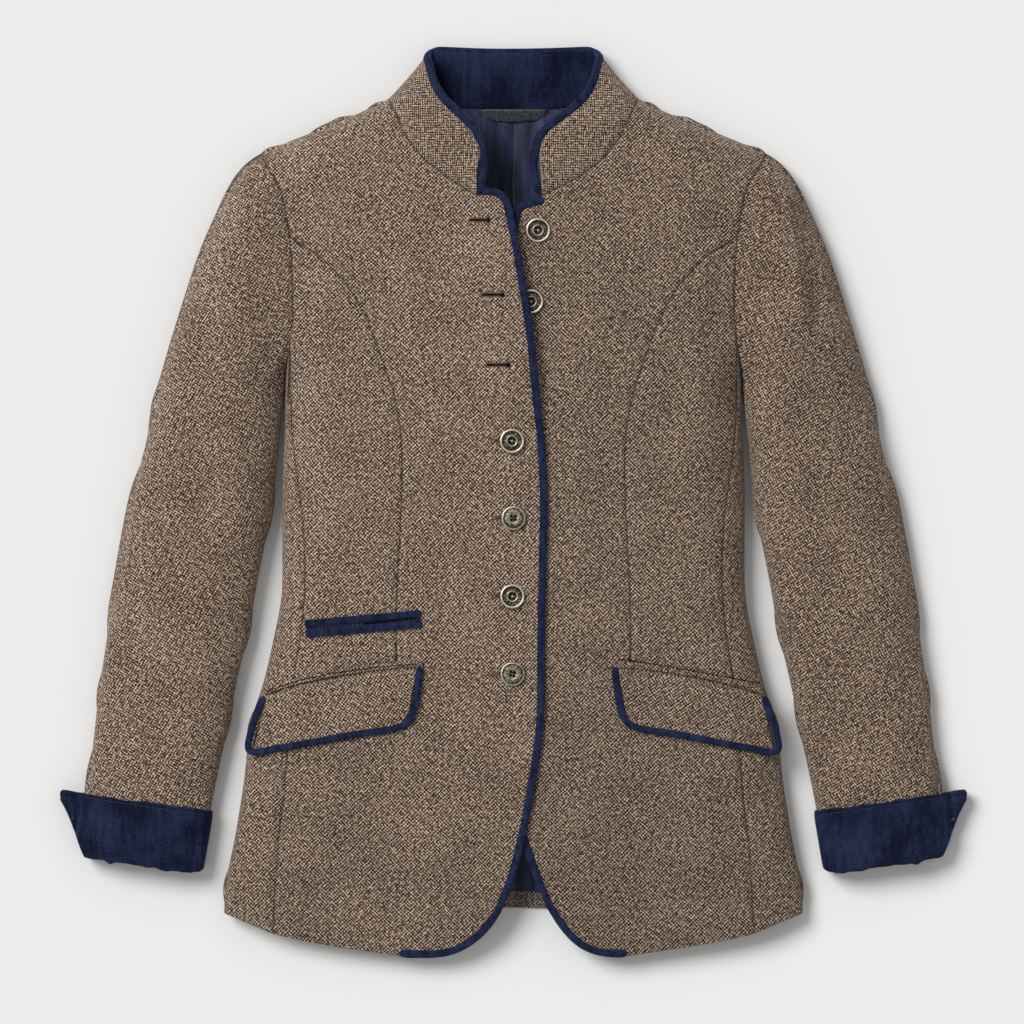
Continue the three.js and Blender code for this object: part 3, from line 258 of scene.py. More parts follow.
def math_node(tree, operation, *values):
    made = tree.nodes.new("ShaderNodeMath")
    made.operation = operation
    for place, value in enumerate(values):
        if isinstance(value, (int, float)):
            made.inputs[place].default_value = value
        else:
            tree.links.new(value, made.inputs[place])
    return made.outputs[0]


def grain(tree, place, scale, detail=2.0, stretch=None):
    """A noise read at a place, optionally stretched along one direction."""
    if stretch:
        place = add(tree, "ShaderNodeVectorMath", {0: place}, operation="MULTIPLY").outputs[0]
        place.node.inputs[1].default_value = stretch
    return add(tree, "ShaderNodeTexNoise", {"Vector": place}, Scale=scale, Detail=detail)


def stirred(tree, share, *noises):
    """A share with the swing of noises added to it, each about its middle and with its weight."""
    for noise_value, weight in noises:
        share = math_node(tree, "MULTIPLY_ADD", math_node(tree, "SUBTRACT", noise_value, 0.5), weight, share)
    return share


def ramp(tree, factor, stops):
    made = add(tree, "ShaderNodeValToRGB", {"Fac": factor})
    points = made.color_ramp.elements
    while len(points) < len(stops):
        points.new(0.5)
    for point, (position, shade) in zip(points, stops):
        point.position = position
        point.color = shade
    return made.outputs[0]


def new_group(name, inputs, outputs):
    tree = bpy.data.node_groups.new(name, "ShaderNodeTree")
    for label, kind, default in inputs:
        socket = tree.interface.new_socket(name=label, in_out="INPUT", socket_type=kind)
        if default is not None:
            socket.default_value = default
    for label, kind in outputs:
        tree.interface.new_socket(name=label, in_out="OUTPUT", socket_type=kind)
    return tree, tree.nodes.new("NodeGroupInput"), tree.nodes.new("NodeGroupOutput")


def weave_group():
    """Diagonal hopsack weave of marled yarn: colour and height."""
    if "Tweed weave" in bpy.data.node_groups:
        return bpy.data.node_groups["Tweed weave"]
    tree, given, out = new_group(
        "Tweed weave",
        [("Place", "NodeSocketVector", None), ("Pitch", "NodeSocketFloat", 0.002),
         ("Evenness", "NodeSocketFloat", 0.5), ("Dark", "NodeSocketColor", None),
         ("Ground", "NodeSocketColor", None), ("Light", "NodeSocketColor", None)],
        [("Color", "NodeSocketColor"), ("Height", "NodeSocketFloat")],
    )
    place = given.outputs["Place"]
    wander = grain(tree, place, 170, 1.0).outputs["Color"]
    centred = add(tree, "ShaderNodeVectorMath", {0: wander}, operation="SUBTRACT").outputs[0]
    centred.node.inputs[1].default_value = (0.5, 0.5, 0.5)
    moved = add(tree, "ShaderNodeVectorMath", {0: centred}, operation="SCALE", Scale=0.0019).outputs[0]
    laid = add(tree, "ShaderNodeVectorMath", {0: place, 1: moved}, operation="ADD").outputs[0]
    counted = add(tree, "ShaderNodeVectorMath", {0: laid}, operation="SCALE").outputs[0]
    tree.links.new(math_node(tree, "DIVIDE", math.tau, given.outputs["Pitch"]), counted.node.inputs["Scale"])
    parts = add(tree, "ShaderNodeSeparateXYZ", {0: counted})
    warp = math_node(tree, "SINE", parts.outputs[0])
    weft = math_node(tree, "SINE", math_node(tree, "MULTIPLY", parts.outputs[1], 1.1))
    patch = grain(tree, place, 120, 2.0).outputs["Fac"]
    share = stirred(tree, 0.5, (patch, 1.6))
    share = add(tree, "ShaderNodeClamp", {"Value": share}, Min=0.4, Max=0.6).outputs[0]
    lines = add(tree, "ShaderNodeMix", {0: share, 2: warp, 3: weft}, data_type="FLOAT").outputs[0]
    clump = grain(tree, place, 300, 2.0).outputs["Fac"]
    slub_warp = grain(tree, place, 1, 1.0, (620, 230, 1)).outputs["Fac"]
    slub_weft = grain(tree, place, 1, 1.0, (230, 620, 1)).outputs["Fac"]
    slub = math_node(tree, "SUBTRACT", math_node(tree, "ADD", slub_warp, slub_weft), 1.0)
    fleck = grain(tree, place, 640, 1.0).outputs["Fac"]
    cloud = grain(tree, place, 26, 2.0).outputs["Fac"]
    tone = math_node(tree, "MULTIPLY_ADD", lines, math_node(tree, "MULTIPLY", given.outputs["Evenness"], 0.95), 0.45)
    tone = math_node(tree, "MULTIPLY_ADD", slub, 0.9, tone)
    tone = stirred(tree, tone, (fleck, 2.0), (clump, 0.8), (cloud, 0.3))
    tone = add(tree, "ShaderNodeClamp", {"Value": tone}).outputs[0]
    low = add(tree, "ShaderNodeMapRange", {"Value": tone}, **{"From Max": 0.5}).outputs[0]
    high = add(tree, "ShaderNodeMapRange", {"Value": tone}, **{"From Min": 0.5}).outputs[0]
    dark = add(tree, "ShaderNodeMix", {0: low, 6: given.outputs["Dark"], 7: given.outputs["Ground"]},
               data_type="RGBA").outputs[2]
    cloth = add(tree, "ShaderNodeMix", {0: high, 6: dark, 7: given.outputs["Light"]}, data_type="RGBA").outputs[2]
    tree.links.new(cloth, out.inputs["Color"])
    tree.links.new(tone, out.inputs["Height"])
    return tree


def pile_group():
    """Velvet pile brushed in soft patches: colour and height."""
    if "Velvet pile" in bpy.data.node_groups:
        return bpy.data.node_groups["Velvet pile"]
    tree, given, out = new_group(
        "Velvet pile",
        [("Place", "NodeSocketVector", None), ("Base", "NodeSocketColor", None), ("Brushed", "NodeSocketColor", None),
         ("Patches", "NodeSocketFloat", 45.0), ("Contrast", "NodeSocketFloat", 2.4)],
        [("Color", "NodeSocketColor"), ("Height", "NodeSocketFloat")],
    )
    place = given.outputs["Place"]
    patch = grain(tree, place, 45, 3.0)
    tree.links.new(given.outputs["Patches"], patch.inputs["Scale"])
    pile = grain(tree, place, 900, 2.0).outputs["Fac"]
    stroke = grain(tree, place, 1, 2.0, (260, 60, 60)).outputs["Fac"]
    share = stirred(tree, 0.36, (patch.outputs["Fac"], given.outputs["Contrast"]), (stroke, 0.9), (pile, 1.6))
    share = add(tree, "ShaderNodeClamp", {"Value": share}).outputs[0]
    cloth = add(tree, "ShaderNodeMix", {0: share, 6: given.outputs["Base"], 7: given.outputs["Brushed"]},
                data_type="RGBA").outputs[2]
    tree.links.new(cloth, out.inputs["Color"])
    tree.links.new(pile, out.inputs["Height"])
    return tree


def material(name):
    """A new material with its tree and its surface shader."""
    made = bpy.data.materials.new(name)
    made.use_nodes = True
    return made, made.node_tree, made.node_tree.nodes["Principled BSDF"]


def set_inputs(made, **values):
    """Sets a node's own inputs, whose names have a space for each underscore."""
    for key, value in values.items():
        made.inputs[key.replace("_", " ")].default_value = value


def group_node(tree, group, links, **values):
    made = tree.nodes.new("ShaderNodeGroup")
    made.node_tree = group
    set_inputs(made, **values)
    for key, source in links.items():
        tree.links.new(source, made.inputs[key])
    return made


def relief(tree, surface, height, distance, strength=1.0):
    bump = add(tree, "ShaderNodeBump", {"Height": height}, Distance=distance, Strength=strength)
    tree.links.new(bump.outputs[0], surface.inputs["Normal"])


def paint_seam_shade(tree, shade, depth):
    """Darkens a colour with painted shade towards the seams that a mesh has marked, as if their valleys lay in shadow.
    """
    seam_shade_mark = add(tree, "ShaderNodeAttribute", attribute_name="Seam").outputs["Fac"]
    share = math_node(tree, "MULTIPLY", math_node(tree, "POWER", seam_shade_mark, 3.0), depth)
    seam_shaded = add(tree, "ShaderNodeMix", {0: share, 6: shade}, data_type="RGBA")
    # Near-black colour of the painted seam shade
    seam_shaded.inputs[7].default_value = (0.006, 0.005, 0.005, 1)
    return seam_shaded.outputs[2]


def tweed(name, turn, evenness, side_shade_dim=1.0, pitch=1.0, skirt_shade=1.0):
    """Tweed whose weave follows the cut piece, turned by an angle; a painted shade dims all of it, and a painted shade
    towards the hem dims the skirt further.
    """
    if name in bpy.data.materials:
        return bpy.data.materials[name]
    made, tree, surface = material(name)
    place = add(tree, "ShaderNodeUVMap", uv_map="Cloth").outputs[0]
    turned = add(tree, "ShaderNodeMapping", {"Vector": place}, Rotation=(0, 0, math.radians(45 + turn))).outputs[0]
    # Painted shade: each yarn colour is dimmed by the half's share
    dark, ground, light = ([value * side_shade_dim for value in shade[:3]] + [1]
                           for shade in (colours().tweed_dark, colours().tweed_ground, colours().tweed_light))
    weave = group_node(tree, weave_group(), {"Place": turned}, Pitch=sizes().yarn_pitch * pitch, Evenness=evenness,
                       Dark=dark, Ground=ground, Light=light)
    # Painted shade: the colour darkens towards the hem, by the skirt's share
    upright = add(tree, "ShaderNodeSeparateXYZ", {0: place}).outputs[1]
    hem_shade = add(tree, "ShaderNodeMapRange", {"Value": upright},
               **{"From Min": SKIRT_SHADE[0], "From Max": SKIRT_SHADE[1], "To Min": skirt_shade})
    cloth = add(tree, "ShaderNodeVectorMath", {0: weave.outputs["Color"]}, operation="SCALE")
    tree.links.new(hem_shade.outputs[0], cloth.inputs["Scale"])
    tree.links.new(paint_seam_shade(tree, cloth.outputs[0], 0.8), surface.inputs["Base Color"])
    set_inputs(surface, Roughness=0.92, Specular_IOR_Level=0.15, Sheen_Weight=0.12, Sheen_Roughness=0.5)
    relief(tree, surface, weave.outputs["Height"], 0.0006)
    return made


def velvet(name, patches=45.0, sheen=0.5, brushed=1.0, contrast=2.4):
    """Velvet whose pile is brushed in patches: how many to a metre, how bright and how far apart in tone."""
    if name in bpy.data.materials:
        return bpy.data.materials[name]
    made, tree, surface = material(name)
    place = add(tree, "ShaderNodeTexCoord").outputs["Object"]
    bright = [value * brushed for value in colours().velvet_brushed[:3]] + [1]
    pile = group_node(tree, pile_group(), {"Place": place}, Base=colours().velvet, Brushed=bright, Patches=patches,
                      Contrast=contrast)
    tree.links.new(paint_seam_shade(tree, pile.outputs["Color"], 0.9), surface.inputs["Base Color"])
    set_inputs(surface, Roughness=0.85, Specular_IOR_Level=0.08, Sheen_Weight=sheen, Sheen_Roughness=0.3,
               Sheen_Tint=(0.24, 0.30, 0.62, 1))
    relief(tree, surface, pile.outputs["Height"], 0.0004)
    return made


def twill(name, shade, bright, shine, streaks):
    """Fine diagonal cloth of the lining and the hanging loop."""
    if name in bpy.data.materials:
        return bpy.data.materials[name]
    made, tree, surface = material(name)
    place = add(tree, "ShaderNodeTexCoord").outputs["Object"]
    turned = add(tree, "ShaderNodeMapping", {"Vector": place}, Rotation=(0, 0, math.radians(38))).outputs[0]
    ridges = add(tree, "ShaderNodeTexWave", {"Vector": turned}, Scale=190.0, Distortion=1.2, Detail=1.0)
    yarn = grain(tree, place, 900, 2.0).outputs["Fac"]
    streak = grain(tree, place, 1, 2.0, streaks).outputs["Fac"]
    # On the lining the streaks paint the sheen of its yarn, mixing towards the bright colour; on the hanging loop they
    # are the light yarn's own colour
    share = stirred(tree, 0.2, (streak, 2.2), (yarn, 1.6))
    share = math_node(tree, "MULTIPLY_ADD", ridges.outputs["Fac"], 0.3, share)
    tree.links.new(ramp(tree, share, [(0.0, shade), (1.0, bright)]), surface.inputs["Base Color"])
    set_inputs(surface, Roughness=0.55, Specular_IOR_Level=0.2, Sheen_Weight=shine, Sheen_Tint=(0.35, 0.42, 0.85, 1))
    relief(tree, surface, ridges.outputs["Fac"], 0.00012)
    return made


def button_metal():
    """Old metal, bright where it is worn, tarnished in its hollows and darkened with painted shade round its holes."""
    if "Antique metal" in bpy.data.materials:
        return bpy.data.materials["Antique metal"]
    made, tree, surface = material("Antique metal")
    place = add(tree, "ShaderNodeTexCoord").outputs["Object"]
    wear_and_hole_shade = add(tree, "ShaderNodeAttribute", attribute_name="Wear and hole shade").outputs["Fac"]
    mottle = grain(tree, place, 900, 3.0).outputs["Fac"]
    share = stirred(tree, wear_and_hole_shade, (mottle, 1.6))
    shade = ramp(tree, share, [(0.15, colours().metal_dark), (0.85, colours().metal)])
    tree.links.new(shade, surface.inputs["Base Color"])
    set_inputs(surface, Metallic=0.85)
    rough = add(tree, "ShaderNodeMapRange", {"Value": share}, **{"To Min": 0.62, "To Max": 0.3}).outputs[0]
    tree.links.new(rough, surface.inputs["Roughness"])
    relief(tree, surface, mottle, 0.0002)
    return made


def thread_stuff(name, shade, gloss=0.3):
    """Twisted sewing thread; near-black and without gloss, it also colours the dark bars that paint the shade in slits
    and grooves.
    """
    if name in bpy.data.materials:
        return bpy.data.materials[name]
    made, tree, surface = material(name)
    place = add(tree, "ShaderNodeTexCoord").outputs["Object"]
    twist = grain(tree, place, 2400, 2.0).outputs["Fac"]
    lighter = [min(1.0, value * 2.2) for value in shade[:3]] + [1]
    tree.links.new(ramp(tree, twist, [(0.35, shade), (0.7, lighter)]), surface.inputs["Base Color"])
    set_inputs(surface, Roughness=0.8, Specular_IOR_Level=gloss)
    relief(tree, surface, twist, 0.0001)
    return made


def floor_paint():
    made, _, surface = material("Pale floor")
    set_inputs(surface, Base_Color=(0.80, 0.80, 0.795, 1), Roughness=0.95, Specular_IOR_Level=0.0)
    return made


# ---------------------------------------------------------------- cloth pieces

def finish_piece(name, mesh, stuff, *replaced):
    """Links a finished mesh as a piece of the blazer, with nothing of it below the floor."""
    for vertex in mesh.vertices:
        vertex.co.z = max(vertex.co.z, 0.0)
    for face in mesh.polygons:
        face.use_smooth = True
    mesh.materials.clear()
    mesh.materials.append(stuff)
    piece = bpy.data.objects.new(name, mesh)
    bpy.context.scene.collection.objects.link(piece)
    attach(piece, "root")
    if replaced:
        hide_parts(*replaced)
    return piece


def as_mesh(made, name="shape"):
    mesh = bpy.data.meshes.new(name)
    made.to_mesh(mesh)
    made.free()
    return mesh


def merged_copy(node):
    """The mesh of a CAD node with its corners merged and its triangles joined."""
    made = bmesh.new()
    made.from_mesh(NODES[node].data)
    bmesh.ops.remove_doubles(made, verts=made.verts, dist=SAME_PLACE)
    bmesh.ops.join_triangles(made, faces=made.faces, angle_face_threshold=math.radians(30),
                             angle_shape_threshold=math.radians(60))
    return made


def modified(mesh, kind, **settings):
    """The mesh that one modifier makes of another."""
    holder = bpy.data.objects.new("holder", mesh)
    bpy.context.scene.collection.objects.link(holder)
    step = holder.modifiers.new("Step", kind)
    for key, value in settings.items():
        setattr(step, key, value)
    graph = bpy.context.evaluated_depsgraph_get()
    made = bpy.data.meshes.new_from_object(holder.evaluated_get(graph))
    bpy.data.objects.remove(holder)
    return made


def smoothed(made, levels, crease, hold=3):
    """Subdivides a mesh smoothly, its edges creased; the rounds of hold bring it back through its own corners."""
    layer = made.edges.layers.float.new("crease_edge")
    for edge in made.edges:
        if edge.is_manifold and edge.calc_face_angle(0) > SHARP:
            edge[layer] = crease
    rough = as_mesh(made, "rough")
    corners = [vertex.co.copy() for vertex in rough.vertices]
    for _ in range(hold):
        passed = modified(rough, "SUBSURF", levels=1, render_levels=1)
        for vertex, corner, reached in zip(rough.vertices, corners, passed.vertices):
            vertex.co += corner - reached.co
        bpy.data.meshes.remove(passed)
    mesh = modified(rough, "SUBSURF", levels=levels, render_levels=levels)
    bpy.data.meshes.remove(rough)
    return mesh


def ease(value):
    value = min(1.0, max(0.0, value))
    return value * value * (3 - 2 * value)


def folds(table, x, y):
    """Height that a table of folds adds at a place."""
    total = 0.0
    for x0, y0, x1, y1, height, width in table:
        x0, y0, x1, y1, width = x0 * MM, y0 * MM, x1 * MM, y1 * MM, width * MM
        dx, dy = x1 - x0, y1 - y0
        along = min(1.0, max(0.0, ((x - x0) * dx + (y - y0) * dy) / (dx * dx + dy * dy)))
        away = ((x - x0 - along * dx) ** 2 + (y - y0 - along * dy) ** 2) / (width * width)
        if away < 9:
            total += height * MM * math.exp(-away)
    return total


def drape(x, y):
    """Height that the folds and the slow unevenness add to the upper layer."""
    slow = noise.noise(Vector((x * 17, y * 13, 0.3))) + 0.45 * noise.noise(Vector((x * 46, y * 38, 4.1)))
    return folds(DRAPE, x, y) + slow * sizes().ripple


def lay(mesh):
    """Lets a mesh take the drape where it lies high enough, the same for all that lies on one place."""
    for vertex in mesh.vertices:
        x, y, z = vertex.co
        share = ease((z / MM - DRAPE_FROM) / (DRAPE_ALL - DRAPE_FROM))
        if share > 0:
            vertex.co.z += drape(x, y) * share


def set_grain(mesh, turn=0.0):
    """Lays the weave along the cloth: places in metres, unrolled down the sides, turned by an angle in degrees."""
    layer = mesh.uv_layers.new(name="Cloth")
    turning = Matrix.Rotation(math.radians(turn), 2)
    laid = []
    for vertex in mesh.vertices:
        normal = vertex.normal
        out = Vector((normal.x, normal.y))
        place = Vector((vertex.co.x, vertex.co.y))
        if out.length > 1e-4:
            place += out.normalized() * SIDE_RUN * MM * max(0.0, 1 - normal.z) ** 1.5
        laid.append(turning @ place)
    for loop in mesh.loops:
        layer.data[loop.index].uv = laid[loop.vertex_index]


def tree_of(mesh):
    return BVHTree.FromPolygons([v.co for v in mesh.vertices], [p.vertices for p in mesh.polygons])


def neighbours(name, side):
    """Surfaces of the pieces that a piece is sewn to."""
    found = [NODES.get(other if other in NODES else f"{other}_{side}") for other in SEWN_TO.get(name, ())]
    return [tree_of(node.data) for node in found if node]


def sink_seams(mesh, trees):
    """Lowers the cloth along its seams and marks how close each place is to one, for the painted seam shade."""
    depth, width = sizes().seam_depth, sizes().seam_width
    moves = []
    for vertex in mesh.vertices:
        away = min((hit[3] for hit in (tree.find_nearest(vertex.co, 4 * width) for tree in trees)
                    if hit[0] is not None), default=None)
        if away is not None and vertex.co.z > 6 * MM:
            moves.append((vertex.index, math.exp(-((away / width) ** 2)), math.exp(-((away / (0.6 * width)) ** 2))))
    seam_shade_mark = mesh.attributes.new("Seam", "FLOAT", "POINT")
    for index, share, close in moves:
        mesh.vertices[index].co.z -= depth * share
        seam_shade_mark.data[index].value = close


def swell(mesh, amount):
    """Plumps a mesh out along its normals by an amount in millimetres."""
    for vertex, normal in zip(mesh.vertices, [v.normal.copy() for v in mesh.vertices]):
        vertex.co += normal * amount * MM


def piece_name(node):
    return node.title()


def cloth_piece(base, side, stuff, levels, crease=0.5, turn=0.0, plump=0.0, hold=3):
    """One cut piece of cloth on the form of its CAD node."""
    node = base if base in NODES else f"{base}_{side}"
    mesh = smoothed(merged_copy(node), levels, crease, hold)
    if plump:
        swell(mesh, plump)
    set_grain(mesh, turn)
    trees = neighbours(base, side)
    if trees:
        sink_seams(mesh, trees)
    lay(mesh)
    return finish_piece(piece_name(node), mesh, stuff, node)


def cut_to_grid(made, xs, ys):
    """Cuts a mesh along upright and level lines, so that it can be bent."""
    for axis, places in (((1, 0, 0), xs), ((0, 1, 0), ys)):
        for place in places:
            bmesh.ops.bisect_plane(made, geom=made.verts[:] + made.edges[:] + made.faces[:],
                                   plane_co=Vector(axis) * place * MM, plane_no=axis, dist=1e-6)


def bar(made, start, end, thickness, segments=6, rings=4):
    """A rounded bar between two places, such as one stitch."""
    way = end - start
    turn = way.to_track_quat("X", "Z").to_matrix().to_4x4()
    size = Matrix.Diagonal((way.length / 2 + thickness / 2, thickness / 2, thickness / 2, 1))
    bmesh.ops.create_uvsphere(made, u_segments=segments, v_segments=rings, radius=1,
                              matrix=Matrix.Translation((start + end) / 2) @ turn @ size)


def highest(trees, x, y, lift=0.0):
    """The place on top of whichever surface lies highest at x and y in millimetres, or None beside them all."""
    hits = [tree.ray_cast(Vector((x, y, OVERHEAD)) * MM, DOWN)[0] for tree in trees]
    tops = [hit + Vector((0, 0, lift * MM)) for hit in hits if hit is not None]
    return max(tops, key=lambda top: top.z) if tops else None


def line_over(made, trees, places, thickness, lift):
    """Lays short bars end to end over the surfaces, through a run of places in millimetres."""
    for start, end in zip(places, places[1:]):
        ends = [highest(trees, *place, lift) for place in (start, end)]
        if None not in ends:
            bar(made, *ends, thickness * MM)


def along(line, share):
    """The place at a share of the way along a line of places."""
    reach = min(len(line) - 1.001, max(0.0, share * (len(line) - 1)))
    first = int(reach)
    return Vector(line[first]).lerp(Vector(line[first + 1]), reach - first)


def on_top(tree, x, y, lift=0.0):
    """The place on top of a surface at x and y in millimetres, lifted by some millimetres."""
    place = highest([tree], x, y, lift)
    if place is None:
        raise RuntimeError(f"no cloth under {x}, {y}")
    return place


def body_tweed(side):
    return tweed(f"Tweed {side} body", 0, 0.62, PAINTED_SIDE_SHADE[side], skirt_shade=0.88)


def trim_velvet():
    return velvet("Velvet trim", patches=120.0, sheen=0.9, brushed=1.25, contrast=1.0)


class BLAZER_OT_fronts(bpy.types.Operator):
    """Make the fronts, side fronts and side panels"""
    bl_idname = "blazer.fronts"
    bl_label = "Fronts"

    def execute(self, context):
        for side in SIDES:
            for base in ("front", "side_front", "side_panel"):
                cloth_piece(base, side, body_tweed(side), sizes().smoothness)
        return {"FINISHED"}


class BLAZER_OT_sleeves(bpy.types.Operator):
    """Make the top and under sleeves"""
    bl_idname = "blazer.sleeves"
    bl_label = "Sleeves"

    def execute(self, context):
        for side, sign in SIDES.items():
            cloth = tweed(f"Tweed {side} sleeve", 0, 0.5, PAINTED_SIDE_SHADE[side])
            cloth_piece("top_sleeve", side, cloth, sizes().smoothness, turn=13 * sign)
            cloth_piece("under_sleeve", side, cloth, 2, turn=13 * sign)
        return {"FINISHED"}


class BLAZER_OT_inside(bpy.types.Operator):
    """Make the backs, the lining and the hanging loop"""
    bl_idname = "blazer.inside"
    bl_label = "Backs and lining"

    def execute(self, context):
        silk = twill("Lining", colours().lining, colours().lining_bright, shine=0.25, streaks=(110, 16, 1))
        for side in SIDES:
            cloth_piece("back", side, body_tweed(side), 0, hold=0)
            made = merged_copy(f"lining_{side}")
            near = [0.6, 1.2, 1.9, 2.8, 4, *range(6, 46, 3)]
            cut_to_grid(made, [place * SIDES[side] for place in near], range(140, 330, 7))
            mesh = as_mesh(made)
            for vertex in mesh.vertices:
                self.bend(vertex.co)
            finish_piece(piece_name(f"lining_{side}"), mesh, silk, f"lining_{side}")
        loop = twill("Loop", colours().loop, colours().loop_bright, shine=0.1, streaks=(400, 400, 1))
        loop_piece = cloth_piece("hanging_loop", "", loop, 2, hold=2)
        self.stitch(loop_piece)
        return {"FINISHED"}

    def bend(self, place):
        """Hollows the lining below the neck, with soft upright wrinkles and a sunk seam up the back."""
        x, y = place.x / MM, place.y / MM
        held = ease((y - 150) / 70) * ease((327 - y) / 22)
        rise = 7 * min(1.0, abs(x) / 34) ** 1.4
        wrinkle = 0.9 * math.sin(x * 0.42 + 0.012 * y + 0.8) + 0.7 * noise.noise(Vector((x * 0.09, y * 0.02, 2)))
        crossing = 0.5 * noise.noise(Vector((x * 0.05, y * 0.12, 7)))
        seam = 0.7 * math.exp(-((x / 1.1) ** 2))
        place.z += held * (rise + wrinkle * min(1.0, abs(x) / 6) + crossing - seam) * MM

    def stitch(self, loop):
        """Small stitches along the top of the hanging loop, and along the facing beside it."""
        made = bmesh.new()
        low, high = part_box("hanging_loop")
        tree = tree_of(loop.data)
        rng = random.Random(5)
        x = low.x / MM + 2
        while x < high.x / MM - 2:
            hit = highest([tree], x, high.y / MM - 1.1)
            if hit is not None:
                slant = Vector((rng.uniform(0.4, 0.7), rng.uniform(-0.1, 0.2), 0)) * MM
                bar(made, hit - slant, hit + slant, sizes().thread)
            x += rng.uniform(1.9, 2.5)
        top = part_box("lining_left")[1].y / MM - 1.0
        tree = tree_of(bpy.data.objects["Lining_Left"].data)
        for k in range(11):
            place = highest([tree], 28.5 + 2.3 * k, top + rng.uniform(-0.2, 0.2), 0.1)
            if place is not None:
                bar(made, place - Vector((0.5, 0.1, 0)) * MM, place + Vector((0.5, 0.1, 0)) * MM, sizes().thread)
        finish_piece("Loop_stitches", as_mesh(made), thread_stuff("Pale thread", colours().pale_thread))


class BLAZER_OT_collar(bpy.types.Operator):
    """Make the collar and its facing"""
    bl_idname = "blazer.collar"
    bl_label = "Collar"

    def execute(self, context):
        # The collar's tweed is dimmed by a painted shade between those of the two halves
        cloth_piece("collar", "", tweed("Tweed collar", 45, 0.7, side_shade_dim=0.91, pitch=0.86), sizes().smoothness)
        mesh = smoothed(merged_copy("collar_facing"), 2, 0.5)
        low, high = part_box("collar_facing")
        foot = Vector(((low.x + high.x) / 2, low.y, low.z))
        for vertex in mesh.vertices:
            vertex.co = foot + (vertex.co - foot) * Vector(FACING_FIT)
        stuff = velvet("Velvet facing", patches=26.0, sheen=0.4)
        finish_piece(piece_name("collar_facing"), mesh, stuff, "collar_facing")
        return {"FINISHED"}


class BLAZER_OT_cuffs(bpy.types.Operator):
    """Make the turned-up cuffs"""
    bl_idname = "blazer.cuffs"
    bl_label = "Cuffs"

    def execute(self, context):
        stuff = velvet("Velvet cuffs", patches=34.0, brushed=0.97, contrast=1.9)
        for side, sign in SIDES.items():
            mesh = smoothed(merged_copy(f"cuff_{side}"), 4, 0.12, hold=0)
            for vertex in mesh.vertices:
                self.fold(vertex.co, sign)
            finish_piece(piece_name(f"cuff_{side}"), mesh, stuff, f"cuff_{side}")
        return {"FINISHED"}

    def rounded(self, x, y):
        """Brings a place back inside the rounded corners of a cuff."""
        for k, (corner, radius) in enumerate(CUFF_CORNERS):
            tip = Vector(corner)
            ahead = (Vector(CUFF_CORNERS[(k + 1) % 4][0]) - tip).normalized()
            behind = (Vector(CUFF_CORNERS[k - 1][0]) - tip).normalized()
            half = ahead.angle(behind) / 2
            centre = tip + (ahead + behind).normalized() * radius / math.sin(half)
            out = Vector((x, y)) - centre
            if out.length > radius:
                share = ease(1 + (math.pi / 2 - half - out.angle(tip - centre)) / CORNER_FADE)
                x, y = centre + out.normalized() * (radius + (out.length - radius) * (1 - share))
        return x, y

    def fold(self, place, sign):
        """Rolls the upper edge of a cuff, draws out its wing, waves its lower edge and lays its folds."""
        x, y = -sign * place.x / MM, place.y / MM
        share = ease((place.z / MM - 3) / 7)
        (x0, y0), (x1, y1) = CUFF_TOP
        from_top = y0 + (y1 - y0) * (x - x0) / (x1 - x0) - y
        (x0, y0), (x1, y1) = CUFF_FOOT
        from_foot = y - (y0 + (y1 - y0) * (x - x0) / (x1 - x0))
        roll = sum(height * math.exp(-(((from_top - away) / width) ** 2)) for away, width, height in CUFF_ROLL)
        soft = 1.1 * noise.noise(Vector((x * 0.035, y * 0.05, 3 + sign)))
        tug = folds(CUFF_FOLDS, (x + 0.6 * sign) * MM, y * MM)
        reach = [(now - tip) / wide for now, tip, wide in zip((x, y), WING_TIP, WING_REACH)]
        x -= WING_PULL * math.exp(-(reach[0] ** 2 + reach[1] ** 2))
        x, y = self.rounded(x, y)
        place.x, place.y = -sign * x * MM, y * MM
        place.z += share * ((roll + soft) * MM + tug)
        wave = noise.noise(Vector((x * 0.055, 2.5, sign))) + 0.5 * noise.noise(Vector((x * 0.17, 5.5, sign)))
        bump = sum(depth * math.exp(-(((x - at) / width) ** 2)) for at, width, depth in CUFF_BUMPS)
        place.y -= ease(1 - from_foot / 12) * (1.3 * wave + bump - 0.6) * MM
        edge = noise.noise(Vector((x * 0.07, 9.5, sign)))
        place.y += ease(1 - from_top / 10) * 1.2 * edge * MM


